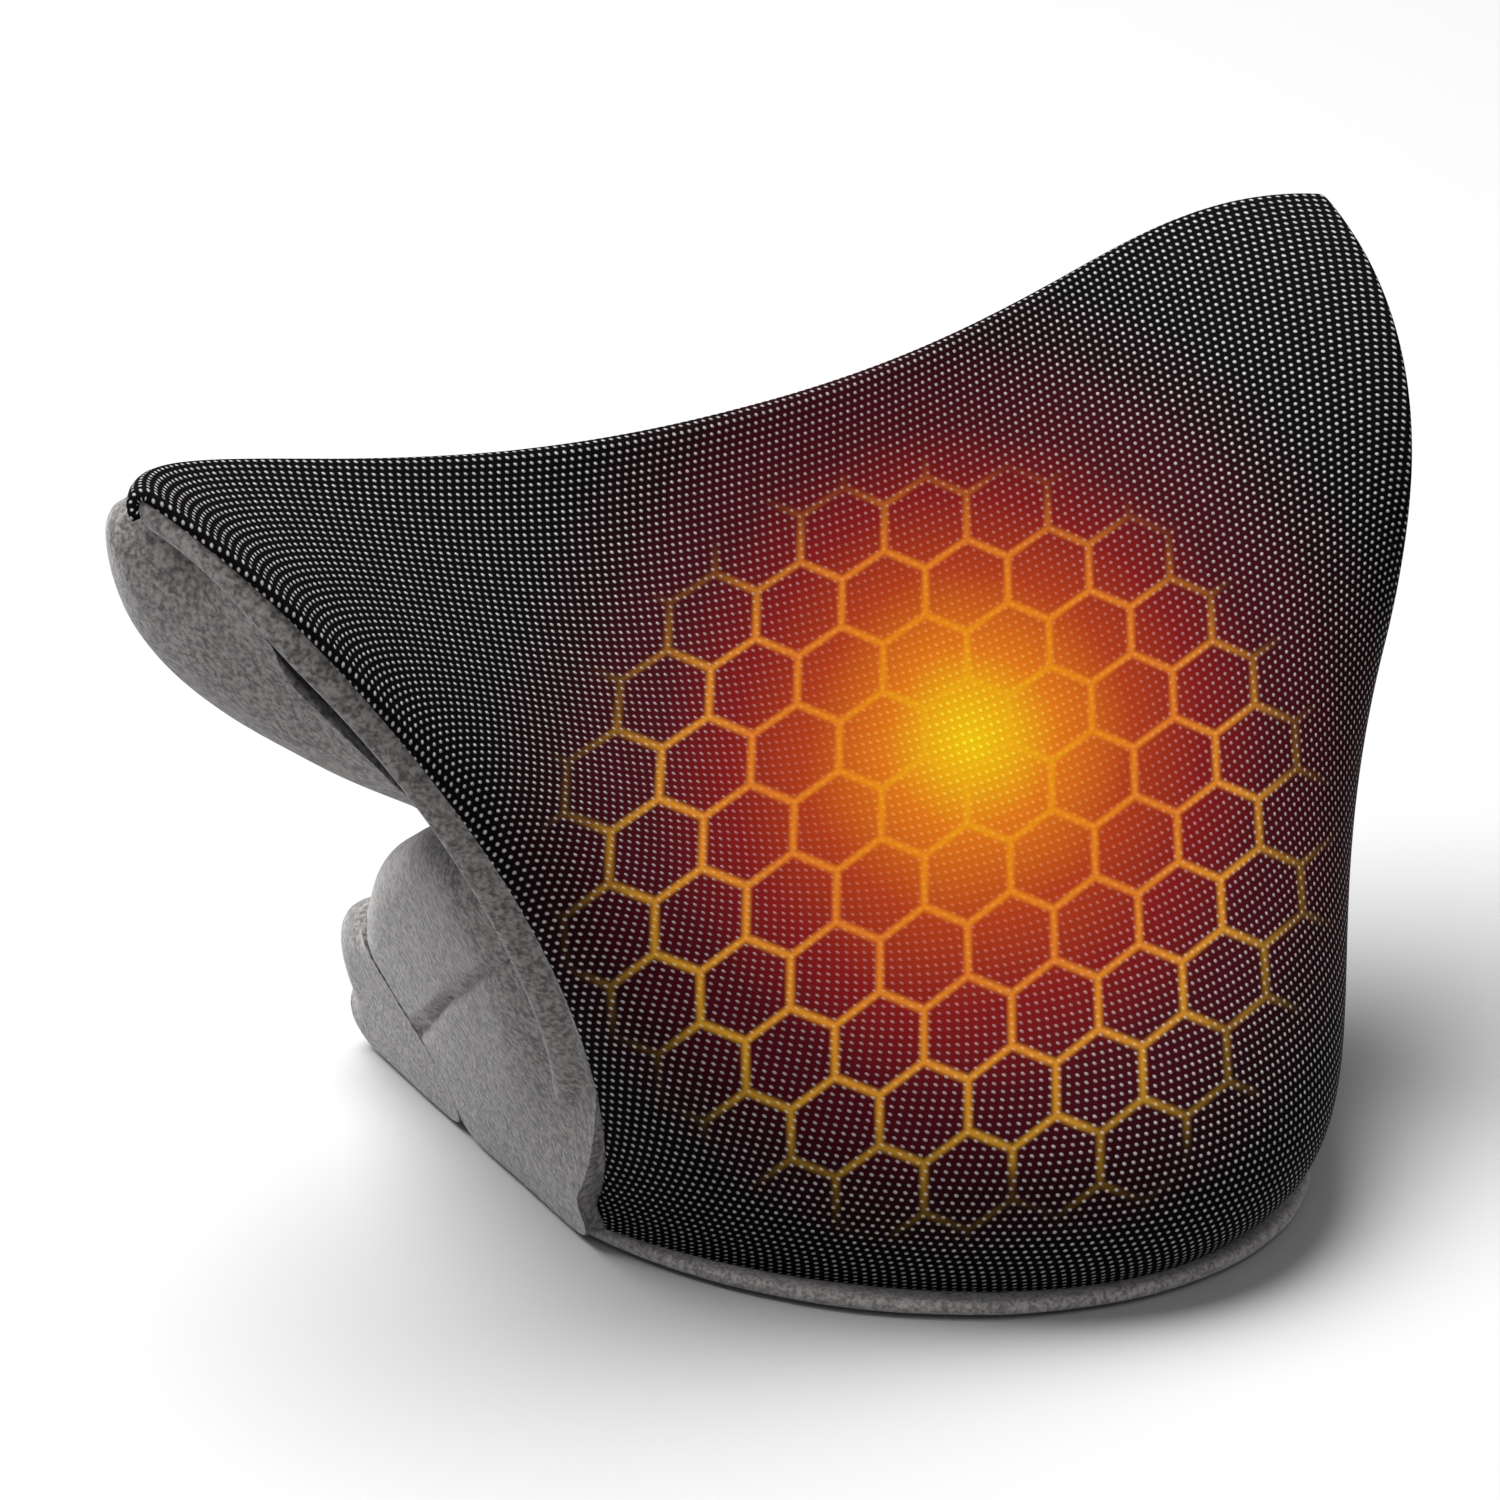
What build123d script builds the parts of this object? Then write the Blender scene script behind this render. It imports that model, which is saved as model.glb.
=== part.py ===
"""Heated shiatsu neck massager: a soft C-shaped saddle cradle with a kneading cassette inside.

+X is the wearer's right-left width, -Y the closed front of the C, +Y its open back, +Z is up.
The origin is on the floor, under the middle of the saddle's rounded front. Millimetres.
"""
from build123d import *
import math
import os

os.makedirs("parts", exist_ok=True)

# ---- Saddle surface: a centre curve, an edge curve and the arc that joins them --------------
saddle_half_width = 74.0      # half width of the saddle where it meets the base
saddle_flare = 0.45           # widening of the wings per mm of height
saddle_sweep = 0.09           # widening of the wings per mm towards the back
front_arc = 88.0              # half angle of the plan arc at the base, degrees
crest_arc = 31.0              # half angle of the plan arc at the crest, degrees
corner_rounding = 0.10        # how far the crest's corners drop back
rise_power = 1.115            # how late the wings rise towards their edge
hem_height = 4.0              # height of the cover's bottom hem
edge_curve = ((0, hem_height), (-39, 35), (-56, 152), (58, 167))
centre_curve = ((-90, hem_height), (-140, 42), (-1, 81), (40, 140))

# ---- Layers under the saddle surface, as depths --------------------------------------------
mesh_thickness = 2.2
layer_gap = 0.4               # clearance between soft layers
film_thickness = 0.6
saddle_foam_thickness = 10.0
band_width = 0.016            # share of the half width that the edge band takes
film_depth = mesh_thickness + layer_gap
foam_depth = film_depth + film_thickness + layer_gap
core_gap = 1.0
core_depth = foam_depth + saddle_foam_thickness + core_gap
film_reach = 0.60             # share of the width that the heating film covers
film_low, film_high = 0.14, 0.84

# ---- Lower block and heel, as a side profile in (y, z) --------------------------------------
base_inset = 4.0              # how far the block stands in from the saddle's side
base_half_width = saddle_half_width - base_inset
base_flare = 0.36
base_taper = -0.25
block_floor = hem_height + layer_gap
slit_foot = (50.0, 12.0)      # lower end of the slit between block and heel
notch = (78.0, 42.0)          # where the slit opens at the back
block_top = (21.0, 83.0)      # rear edge of the inner lobe's top
slit_gap = 2.5
heel_back = 104.0
heel_step = 20.0
heel_crown = (95.0, 33.0)
side_gap = 0.5

# ---- Upper arm, as a side profile in (y, z) -------------------------------------------------
arm_root_depth = 3.0          # how thick the arm starts at its root
arm_belly = (34.0, 104.0)
arm_throat = (50.0, 111.0)
arm_nose = (58.0, 124.0)
arm_brow_y = 56.0
arm_brow_rise, arm_tip_rise = 0.45, 0.78   # shares of the way from nose height to the crest

# ---- Bottom panel ---------------------------------------------------------------------------
pad_bottom = 1.0
pad_top = hem_height - 0.3
rim_margin = 3.5              # how far the rim shows beyond the saddle's side
rim_side = saddle_half_width + rim_margin
rim_front = 92.5
rear_half_width = 49.0
rear_corner = 12.0
dot_radius = 4.0
dot_columns, dot_rows = 5, 5
dot_pitch_x, dot_pitch_y = 22.0, 32.0

# ---- Kneading cassette, in its own tilted frame ---------------------------------------------
cassette_tilt = 34.0
press_y, press_z = -50.68, 69.52   # where the nodes press on the saddle, in side view
axis_spacing = 54.0
plate = 2.4
cassette_wall = 2.4
gear_room = 1.6
running_clearance = 0.05
pocket_gap = 1.2
module = 1.0
output_teeth, small_teeth, large_teeth, motor_teeth = 54, 15, 44, 14
output_face, large_face = 7.0, 4.6
level_gap = 0.8
reduction_x = -6.0
motor_direction = -10.0
shaft_radius = 3.0
bush_wall = 2.0
bush_flange = 1.2
axle_radius = 2.0
motor_radius, motor_length, motor_shaft_radius = 12.0, 27.0, 1.0
screw_radius, screw_head_radius = 1.25, 2.4
screw_head_height = 1.2
motor_screw_spacing = 8.0
lug_x, lug_y, lug_radius = 50.3, 23.3, 4.2
front_lug_y = -33.0

# ---- Kneading heads -------------------------------------------------------------------------
hub_radius = 5.2
ball_radius = 7.5
ball_gap = 0.7                # clearance between a node and the hub
ball_lift = 1.3               # clearance between a node and the cassette
ball_orbit = hub_radius + ball_gap + ball_radius
ball_height = ball_radius + ball_lift
press_depth = core_depth + ball_height + ball_radius
cassette_y = press_y + press_depth * math.sin(math.radians(cassette_tilt))
cassette_z = press_z - press_depth * math.cos(math.radians(cassette_tilt))
hub_top = 12.6
hub_lift = 1.5
pin_radius = 1.5
pin_length = 45.0
clip_radius, clip_width = 2.9, 0.8

# ---- Electronics and rear controls ----------------------------------------------------------
tray_front, tray_back = 69.0, 102.0
tray_half_width = 40.0
tray_bottom, tray_top = 5.2, 24.6
tray_wall = 1.5
cell_radius, cell_length = 8.0, 34.5
board_y, board_thickness = 94.0, 1.6
board_half_width, board_bottom, board_top = 36.0, 7.6, 19.0
board_screw_x, board_screw_radius, board_screw_head = 32.0, 1.0, 1.9
bezel_front, bezel_back = 102.3, 105.2
bezel_half_width, bezel_bottom, bezel_top = 34.0, 5.6, 19.4
control_z = 12.5
power_x, heat_x, led_x, port_x = -23.0, -9.0, 3.0, 19.0
button_radius, button_gap, button_proud = 4.2, 0.25, 1.1
led_radius = 1.5
port_half_width, port_half_height = 4.5, 1.6
flap_half_width, flap_height, flap_thickness = 6.4, 7.0, 1.2
flap_hinge_radius = 0.8

# ---- Zip along the notch --------------------------------------------------------------------
zip_length, zip_tape_width, zip_tape_thickness = 88.0, 18.0, 0.8
zip_pitch, zip_tooth, zip_row = 2.2, 1.1, 1.9
zip_bar_width, zip_height = 1.6, 1.5
zip_gap = 0.25
slider_length, slider_width, slider_wall = 9.0, 8.4, 1.1
pull_length, pull_width, pull_thickness = 17.0, 5.0, 1.0
bail_radius, bail_rise = 0.7, 1.9
slider_start = -(zip_length / 2 - 8.0)

GRID_ACROSS, GRID_UP = 17, 11


def bezier(points, t):
    """Return the (y, z) point of a cubic curve at t."""
    weights = ((1 - t) ** 3, 3 * t * (1 - t) ** 2, 3 * t * t * (1 - t), t ** 3)
    return tuple(sum(w * p[i] for w, p in zip(weights, points)) for i in (0, 1))


def saddle(s, t):
    """Return the saddle's outer point: s runs from side to side, t from hem to crest."""
    level = t * (1 - corner_rounding * abs(s) ** 8)
    edge_y, edge_z = bezier(edge_curve, level)
    centre_y, centre_z = bezier(centre_curve, level)
    arc = math.radians(front_arc + (crest_arc - front_arc) * level)
    across = math.sin(arc * s) / math.sin(arc)
    back = (1 - math.cos(arc * s)) / (1 - math.cos(arc))
    y = centre_y + (edge_y - centre_y) * back
    z = centre_z + (edge_z - centre_z) * back ** rise_power
    return Vector(across * (saddle_half_width + saddle_flare * z + saddle_sweep * y), y, z)


def saddle_below(s, t, depth):
    """Return the point that lies depth under the saddle's outer point."""
    step = 1e-4
    s_in = min(max(s, step - 1), 1 - step)
    t_in = min(max(t, step), 1 - step)
    along = saddle(s_in + step, t_in) - saddle(s_in - step, t_in)
    up = saddle(s_in, t_in + step) - saddle(s_in, t_in - step)
    return saddle(s, t) - along.cross(up).normalized() * depth


def grid(point, across=(-1.0, 1.0), up=(0.0, 1.0), columns=GRID_ACROSS, rows=GRID_UP):
    """Return rows of points of a two-parameter surface."""
    def share(span, i, count):
        return span[0] + (span[1] - span[0]) * i / (count - 1)
    return [
        [point(share(across, i, columns), share(up, j, rows)) for j in range(rows)]
        for i in range(columns)
    ]


def closed_block(outer, inner):
    """Return the solid between two point grids, closed by ruled sides."""
    top = Face.make_surface_from_array_of_points(outer, tol=0.05)
    bottom = Face.make_surface_from_array_of_points(inner, tol=0.05)
    sides = [Face.make_surface_from_curves(*pair) for pair in zip(top.edges(), bottom.edges())]
    return Solid(Shell([top, bottom, *sides]))


def layer(depth, thickness, across, up):
    """Return a layer of the saddle between two depths."""
    return closed_block(
        grid(lambda s, t: saddle_below(s, t, depth), across, up),
        grid(lambda s, t: saddle_below(s, t, depth + thickness), across, up),
    )


def base_point(u, y, z):
    """Return a point of the lower block, u being its share of the half width."""
    return Vector(u * (base_half_width + base_flare * z + base_taper * y), y, z)


def arm_point(u, y, z):
    """Return a point of the upper arm, u being its share of the half width."""
    return Vector(u * (saddle_half_width + saddle_flare * z + saddle_sweep * y), y, z)


def along_path(points, share):
    """Return the (y, z) point at a share of the way along straight runs of equal weight."""
    place = share * (len(points) - 1)
    i = min(int(place), len(points) - 2)
    a, b = points[i], points[i + 1]
    return tuple(a[k] + (b[k] - a[k]) * (place - i) for k in (0, 1))


def block_crown(s):
    """Return how far up the saddle the lower block reaches, at s."""
    return 0.72 - 0.20 * s * s


def arm_start(s):
    """Return how far up the saddle the upper arm starts, at s."""
    return 0.79 - 0.20 * s * s


block_back = [(slit_foot[0] - 2, block_floor), slit_foot, (64.0, 27.0), notch, (67.0, 51.0),
              (57.0, 60.0), (45.0, 69.5), block_top]
end_share = 1 - band_width

# ---- Soft layers ----------------------------------------------------------------------------
with BuildPart() as mesh_cover:
    add(layer(0.0, mesh_thickness, (-end_share, end_share), (0.0, 1.0)))
mesh_cover.part.label = "mesh_cover"

with BuildPart() as heating_film:
    add(layer(film_depth, film_thickness, (-film_reach, film_reach), (film_low, film_high)))
heating_film.part.label = "heating_film"

with BuildPart() as saddle_foam:
    add(layer(foam_depth, saddle_foam_thickness, (-end_share, end_share), (0.01, 0.985)))
saddle_foam.part.label = "saddle_foam"


def edge_band(side):
    """Return the gusset band that closes one side edge of the saddle."""
    inner_edge = end_share + 0.004
    span = (inner_edge, 1.0) if side > 0 else (-1.0, -inner_edge)
    return layer(0.0, core_depth - core_gap, span, (0.01, 0.985))


with BuildPart() as left_edge_band:
    add(edge_band(-1))
left_edge_band.part.label = "left_edge_band"

with BuildPart() as right_edge_band:
    add(edge_band(1))
right_edge_band.part.label = "right_edge_band"

# ---- Upper arm ------------------------------------------------------------------------------
arm_share = 0.95


def arm_top(s, share):
    """Return the arm's upper face, hard under the saddle foam."""
    return saddle_below(s, arm_start(s) + (0.97 - arm_start(s)) * share, core_depth)


def arm_bottom(s, share):
    """Return the arm's underside and nose, from its root under the saddle foam."""
    crest = saddle(s, 1.0)
    rise = crest.Z - arm_nose[1]
    brow = (arm_brow_y, arm_nose[1] + arm_brow_rise * rise)
    tip = ((crest.Y + arm_brow_y) / 2, arm_nose[1] + arm_tip_rise * rise)
    corners = [saddle_below(s, arm_start(s), core_depth + arm_root_depth)]
    corners += [arm_point(s, y, z) for y, z in (arm_belly, arm_throat, arm_nose, brow, tip)]
    place = share * (len(corners) - 1)
    i = min(int(place), len(corners) - 2)
    return corners[i] + (corners[i + 1] - corners[i]) * (place - i)


with BuildPart() as arm_bolster:
    add(closed_block(grid(arm_top, (-arm_share, arm_share)),
                     grid(arm_bottom, (-arm_share, arm_share))))
arm_bolster.part.label = "arm_bolster"

# ---- Lower block with its cassette pocket ---------------------------------------------------
block_share = 0.95


def block_front(s, share):
    """Return the block's front, hard under the saddle foam."""
    return saddle_below(s, 0.02 + (block_crown(s) - 0.02) * share, core_depth)


def block_rear(s, share):
    """Return the block's rear: slit wall, notch and inner lobe."""
    return base_point(s, *along_path(block_back, share))


cassette_plane = Plane(
    origin=(0, cassette_y, cassette_z),
    x_dir=(1, 0, 0),
    z_dir=(0, -math.sin(math.radians(cassette_tilt)), math.cos(math.radians(cassette_tilt))),
)
cassette_axis = Axis(cassette_plane.origin, cassette_plane.z_dir)
half_spacing = axis_spacing / 2
small_radius = module * small_teeth / 2
output_radius = module * output_teeth / 2
large_radius = module * large_teeth / 2
motor_pinion_radius = module * motor_teeth / 2
reduction_y = math.sqrt((output_radius + small_radius) ** 2 - (reduction_x + half_spacing) ** 2)
motor_reach = large_radius + motor_pinion_radius
motor_x = reduction_x + motor_reach * math.cos(math.radians(motor_direction))
motor_y = reduction_y + motor_reach * math.sin(math.radians(motor_direction))
tooth_room = module + 0.9
gear_top = -plate - gear_room
large_top = gear_top - output_face - level_gap
floor_top = large_top - large_face - 1.0
cassette_bottom = floor_top - plate
split_level = gear_top - output_face / 2
lug_spots = [(lug_x, lug_y), (-lug_x, lug_y), (0, front_lug_y)]


def cassette_outline(grow=0.0):
    """Sketch the cassette's outline in the current sketch: gear lobes joined together."""
    lobe = output_radius + tooth_room + cassette_wall + grow
    SlotOverall(axis_spacing + 2 * lobe, 2 * lobe)
    with Locations((reduction_x, reduction_y)):
        Circle(large_radius + tooth_room + cassette_wall + grow)
    with Locations((motor_x, motor_y)):
        Circle(motor_radius + tooth_room + cassette_wall + grow)
    with Locations(*lug_spots):
        Circle(lug_radius + grow)


head_room = ball_height + ball_radius + pocket_gap
with BuildPart() as base_cushion:
    add(closed_block(grid(block_front, (-block_share, block_share)),
                     grid(block_rear, (-block_share, block_share))))
    with BuildSketch(cassette_plane.offset(cassette_bottom - pocket_gap)):
        cassette_outline(pocket_gap)
    extrude(amount=head_room - cassette_bottom + 30, mode=Mode.SUBTRACT)
    with BuildSketch(cassette_plane.offset(cassette_bottom)):
        with Locations((motor_x, motor_y)):
            Circle(motor_radius + pocket_gap)
    extrude(amount=-(motor_length + 2 * pocket_gap), mode=Mode.SUBTRACT)
base_cushion.part.label = "base_cushion"


def end_cover(side, outer_start, wall, share):
    """Return the knit cover of one end, between the saddle's edge and a rear wall."""
    def outer(k, v):
        start = outer_start(side, v)
        end = wall(side, v)
        return start + (end - start) * k

    def inner(k, v):
        start = outer_start(side * share, v)
        end = wall(side * share, v)
        return start + (end - start) * k
    return closed_block(grid(outer, (0.0, 1.0), (0.0, 1.0), 7), grid(inner, (0.0, 1.0), (0.0, 1.0), 7))


inner_share = block_share + 0.01
with BuildPart() as left_base_side:
    add(end_cover(-1, block_front, block_rear, inner_share))
left_base_side.part.label = "left_base_side"

with BuildPart() as right_base_side:
    add(end_cover(1, block_front, block_rear, inner_share))
right_base_side.part.label = "right_base_side"

with BuildPart() as left_arm_side:
    add(end_cover(-1, arm_top, arm_bottom, inner_share))
left_arm_side.part.label = "left_arm_side"

with BuildPart() as right_arm_side:
    add(end_cover(1, arm_top, arm_bottom, inner_share))
right_arm_side.part.label = "right_arm_side"

# ---- Heel pad -------------------------------------------------------------------------------
heel_profile = [
    (slit_foot[0] + slit_gap, block_floor),
    (slit_foot[0] + slit_gap, slit_foot[1]),
    (notch[0] + slit_gap, notch[1]),
    heel_crown,
    (heel_back, heel_step),
    (heel_back, block_floor),
]


def base_plane(u):
    """Return the slanted section plane of the lower block at u."""
    return Plane(
        origin=(u * base_half_width, 0, 0),
        x_dir=(u * base_taper, 1, 0),
        z_dir=(1, -u * base_taper, -u * base_flare),
    )


with BuildPart() as heel_pad:
    for u in (-1.0, 0.0, 1.0):
        station = base_plane(u)
        corners = [station.to_local_coords(base_point(u, y, z)) for y, z in heel_profile]
        with BuildSketch(station):
            with BuildLine():
                Polyline(*[(c.X, c.Y) for c in corners], close=True)
            make_face()
    loft(ruled=True)
    with BuildSketch(Plane.XY.offset(tray_bottom - pocket_gap / 2)):
        with Locations((0, (tray_front + heel_back + 2) / 2 - side_gap / 2)):
            Rectangle(2 * tray_half_width + 1, heel_back + 2 - tray_front + side_gap)
    extrude(amount=tray_top - tray_bottom + pocket_gap, mode=Mode.SUBTRACT)
heel_pad.part.label = "heel_pad"

# ---- Bottom panel and grip dots -------------------------------------------------------------


def panel_outline():
    """Draw the bottom panel's outline: half an ellipse in front, tapered sides behind."""
    EllipticalCenterArc((0, 0), rim_side, rim_front, start_angle=180, arc_size=180)
    Polyline((rim_side, 0), (rear_half_width, heel_back), (-rear_half_width, heel_back),
             (-rim_side, 0))


with BuildPart() as base_pad:
    with BuildSketch(Plane.XY.offset(pad_bottom)) as panel:
        with BuildLine():
            panel_outline()
        make_face()
        fillet(panel.vertices().group_by(Axis.Y)[-1], radius=rear_corner)
    extrude(amount=pad_top - pad_bottom)
    rim = base_pad.edges().filter_by(GeomType.LINE, reverse=True)
    fillet(rim.group_by(Axis.Z)[-1] + rim.group_by(Axis.Z)[0], radius=0.9)
base_pad.part.label = "base_pad"

with BuildPart() as grip_dots:
    with BuildSketch():
        with GridLocations(dot_pitch_x, dot_pitch_y, dot_columns, dot_rows):
            Circle(dot_radius)
    extrude(amount=pad_bottom)
    chamfer(grip_dots.edges().group_by(Axis.Z)[0], length=0.4)
grip_dots.part.label = "grip_dots"

# ---- Gears ----------------------------------------------------------------------------------
pressure_angle = math.radians(20)
tooth_addendum, tooth_dedendum, backlash = 0.80, 1.15, 0.22
flank_steps = 4


def involute(angle):
    """Return the involute function of an angle."""
    return math.tan(angle) - angle


def tooth_half_angle(teeth, radius):
    """Return a tooth's half angle at a radius, in radians."""
    pitch = module * teeth / 2
    ground = pitch * math.cos(pressure_angle)
    flank = math.acos(min(ground / max(radius, ground), 1))
    half = math.pi / (2 * teeth) + involute(pressure_angle) - involute(flank)
    return half - backlash / (2 * pitch)


def gear_outline(place, teeth, phase):
    """Draw a spur gear's closed outline, a tooth centred on the phase angle."""
    x, y = place
    pitch = module * teeth / 2
    low, high = pitch - tooth_dedendum * module, pitch + tooth_addendum * module
    radii = [low + (high - low) * i / flank_steps for i in range(flank_steps + 1)]
    points = []
    for tooth in range(teeth):
        middle = math.radians(phase + 360 * tooth / teeth)
        flank = [(r, middle - tooth_half_angle(teeth, r)) for r in radii]
        flank += [(r, middle + tooth_half_angle(teeth, r)) for r in reversed(radii)]
        points += [(x + r * math.cos(a), y + r * math.sin(a)) for r, a in flank]
    Polyline(*points, close=True)


def mesh_phase(phase, teeth, direction, other_teeth):
    """Return the phase that puts a second gear in mesh with the first along a direction."""
    offset = (phase - direction) % (360 / teeth)
    return direction + 180 - offset * teeth / other_teeth + 180 / other_teeth


def gear_blank(place, top, face, teeth, phase):
    """Extrude one toothed wheel into the current part."""
    with BuildSketch(cassette_plane.offset(top - face)) as wheel:
        with BuildLine():
            gear_outline(place, teeth, phase)
        make_face()
    extrude(wheel.sketch, amount=face)


def post(place, low, high, radius, mode=Mode.ADD):
    """Extrude one round post, or cut one round hole, along the cassette's axis."""
    with BuildSketch(cassette_plane.offset(low)) as section:
        with Locations(place):
            Circle(radius)
    extrude(section.sketch, amount=high - low, mode=mode)


left_axis, right_axis = (-half_spacing, 0), (half_spacing, 0)
reduction_axis, motor_axis = (reduction_x, reduction_y), (motor_x, motor_y)
reduction_direction = math.degrees(math.atan2(reduction_y, reduction_x + half_spacing))
right_phase = mesh_phase(0, output_teeth, 0, output_teeth)
small_phase = mesh_phase(0, output_teeth, reduction_direction, small_teeth)
motor_phase = mesh_phase(0, large_teeth, motor_direction, motor_teeth)
journal_low = cassette_bottom + 0.4
shaft_top = hub_lift + 5.0

with BuildPart() as left_output_gear:
    gear_blank(left_axis, gear_top, output_face, output_teeth, 0)
    post(left_axis, journal_low, shaft_top, shaft_radius)
    with BuildSketch(cassette_plane.offset(gear_top)):
        with Locations(left_axis):
            with PolarLocations(16, 6):
                Circle(4.5)
    extrude(amount=-output_face, mode=Mode.SUBTRACT)
left_output_gear.part.label = "left_output_gear"

with BuildPart() as right_output_gear:
    gear_blank(right_axis, gear_top, output_face, output_teeth, right_phase)
    post(right_axis, journal_low, shaft_top, shaft_radius)
    with BuildSketch(cassette_plane.offset(gear_top)):
        with Locations(right_axis):
            with PolarLocations(16, 6):
                Circle(4.5)
    extrude(amount=-output_face, mode=Mode.SUBTRACT)
right_output_gear.part.label = "right_output_gear"

with BuildPart() as reduction_gear:
    gear_blank(reduction_axis, gear_top, output_face + level_gap, small_teeth, small_phase)
    gear_blank(reduction_axis, large_top, large_face, large_teeth, 0)
    post(reduction_axis, large_top - large_face, gear_top, axle_radius + running_clearance,
         Mode.SUBTRACT)
reduction_gear.part.label = "reduction_gear"

with BuildPart() as reduction_axle:
    post(reduction_axis, cassette_bottom, -0.4, axle_radius)
reduction_axle.part.label = "reduction_axle"

pinion_low = large_top - large_face + 0.2
with BuildPart() as motor_pinion:
    gear_blank(motor_axis, large_top, large_face - 0.2, motor_teeth, motor_phase)
    post(motor_axis, cassette_bottom - motor_length / 2, pinion_low, motor_shaft_radius)
motor_pinion.part.label = "motor_pinion"

with BuildPart() as drive_motor:
    motor_top = cassette_bottom - 0.2
    post(motor_axis, motor_top - motor_length, motor_top, motor_radius)
    fillet(drive_motor.edges().filter_by(GeomType.CIRCLE), radius=1.2)
    post(motor_axis, motor_top - motor_length - 1.6, motor_top - motor_length, 3.2)
    post(motor_axis, motor_top - motor_length / 2 - 1, motor_top,
         motor_shaft_radius + running_clearance, Mode.SUBTRACT)
    for offset in (-motor_screw_spacing, motor_screw_spacing):
        spot = (motor_x + offset, motor_y)
        post(spot, motor_top - 4.0, motor_top, screw_radius, Mode.SUBTRACT)
drive_motor.part.label = "drive_motor"

# ---- Cassette shells, bushes and screws -----------------------------------------------------


def cavity():
    """Sketch the cassette's inner room."""
    room = output_radius + tooth_room
    SlotOverall(axis_spacing + 2 * room, 2 * room)
    with Locations(reduction_axis):
        Circle(large_radius + tooth_room)
    with Locations(motor_axis):
        Circle(motor_radius + tooth_room)


bush_radius = shaft_radius + bush_wall
screw_seat = 4.0              # how deep the shell screws' heads sit in the rear shell
with BuildPart() as cassette_front:
    with BuildSketch(cassette_plane.offset(split_level)):
        cassette_outline()
    extrude(amount=-split_level)
    with BuildSketch(cassette_plane.offset(split_level)):
        cavity()
    extrude(amount=-split_level - plate, mode=Mode.SUBTRACT)
    for spot in (left_axis, right_axis):
        post(spot, -plate, 0, bush_radius, Mode.SUBTRACT)
    post(reduction_axis, -plate, 0, axle_radius, Mode.SUBTRACT)
    for spot in lug_spots:
        post(spot, split_level, -plate, screw_radius, Mode.SUBTRACT)
cassette_front.part.label = "cassette_front"

with BuildPart() as cassette_rear:
    with BuildSketch(cassette_plane.offset(cassette_bottom)):
        cassette_outline()
    extrude(amount=split_level - cassette_bottom - 0.02)
    with BuildSketch(cassette_plane.offset(floor_top)):
        cavity()
    extrude(amount=split_level - floor_top, mode=Mode.SUBTRACT)
    for spot in (left_axis, right_axis):
        post(spot, cassette_bottom, floor_top, bush_radius, Mode.SUBTRACT)
    post(reduction_axis, cassette_bottom, floor_top, axle_radius, Mode.SUBTRACT)
    post(motor_axis, cassette_bottom, floor_top, 3.5, Mode.SUBTRACT)
    for offset in (-motor_screw_spacing, motor_screw_spacing):
        post((motor_x + offset, motor_y), cassette_bottom, floor_top, screw_radius + 0.2,
             Mode.SUBTRACT)
    for spot in lug_spots:
        post(spot, cassette_bottom, split_level, screw_radius + 0.2, Mode.SUBTRACT)
        post(spot, cassette_bottom, cassette_bottom + screw_seat, screw_head_radius + 0.2,
             Mode.SUBTRACT)
cassette_rear.part.label = "cassette_rear"

with BuildPart() as cassette_screws:
    for spot in lug_spots:
        head_top = cassette_bottom + screw_seat
        post(spot, head_top - screw_head_height, head_top, screw_head_radius)
        post(spot, head_top, -plate - 1.0, screw_radius - 0.05)
cassette_screws.part.label = "cassette_screws"


def make_bush(spot, low, high, flange_low, flange_high):
    """Build one flanged bush around a journal."""
    post(spot, low, high, bush_radius)
    post(spot, flange_low, flange_high, bush_radius + 1.5)
    post(spot, min(low, flange_low), max(high, flange_high), shaft_radius + running_clearance,
         Mode.SUBTRACT)


with BuildPart() as left_bush:
    make_bush(left_axis, -plate, 0, 0, bush_flange)
left_bush.part.label = "left_bush"

with BuildPart() as right_bush:
    make_bush(right_axis, -plate, 0, 0, bush_flange)
right_bush.part.label = "right_bush"

with BuildPart() as left_rear_bush:
    make_bush(left_axis, cassette_bottom, floor_top, floor_top, floor_top + bush_flange)
left_rear_bush.part.label = "left_rear_bush"

with BuildPart() as right_rear_bush:
    make_bush(right_axis, cassette_bottom, floor_top, floor_top, floor_top + bush_flange)
right_rear_bush.part.label = "right_rear_bush"

with BuildPart() as motor_screws:
    for offset in (-motor_screw_spacing, motor_screw_spacing):
        spot = (motor_x + offset, motor_y)
        post(spot, motor_top - 3.6, floor_top, screw_radius - 0.05)
        post(spot, floor_top, floor_top + screw_head_height * 0.75, screw_head_radius)
motor_screws.part.label = "motor_screws"

# ---- Kneading heads -------------------------------------------------------------------------


def head_plane(spot):
    """Return the plane of a head's cross pin."""
    return Plane(
        origin=cassette_plane.from_local_coords(Vector(spot[0], spot[1], ball_height)),
        x_dir=cassette_plane.z_dir,
        z_dir=(1, 0, 0),
    )


def make_arm_bores(spot):
    """Cut a kneading arm's blind shaft bore and the cross hole for its pin."""
    post(spot, hub_lift, shaft_top + 0.2, shaft_radius, Mode.SUBTRACT)
    with BuildSketch(head_plane(spot).offset(-hub_radius - 1)) as cross_hole:
        Circle(pin_radius)
    extrude(cross_hole.sketch, amount=2 * hub_radius + 2, mode=Mode.SUBTRACT)


def make_pins(spot):
    """Build one cross pin."""
    with BuildSketch(head_plane(spot).offset(-pin_length / 2)) as section:
        Circle(pin_radius)
    extrude(section.sketch, amount=pin_length)


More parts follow.
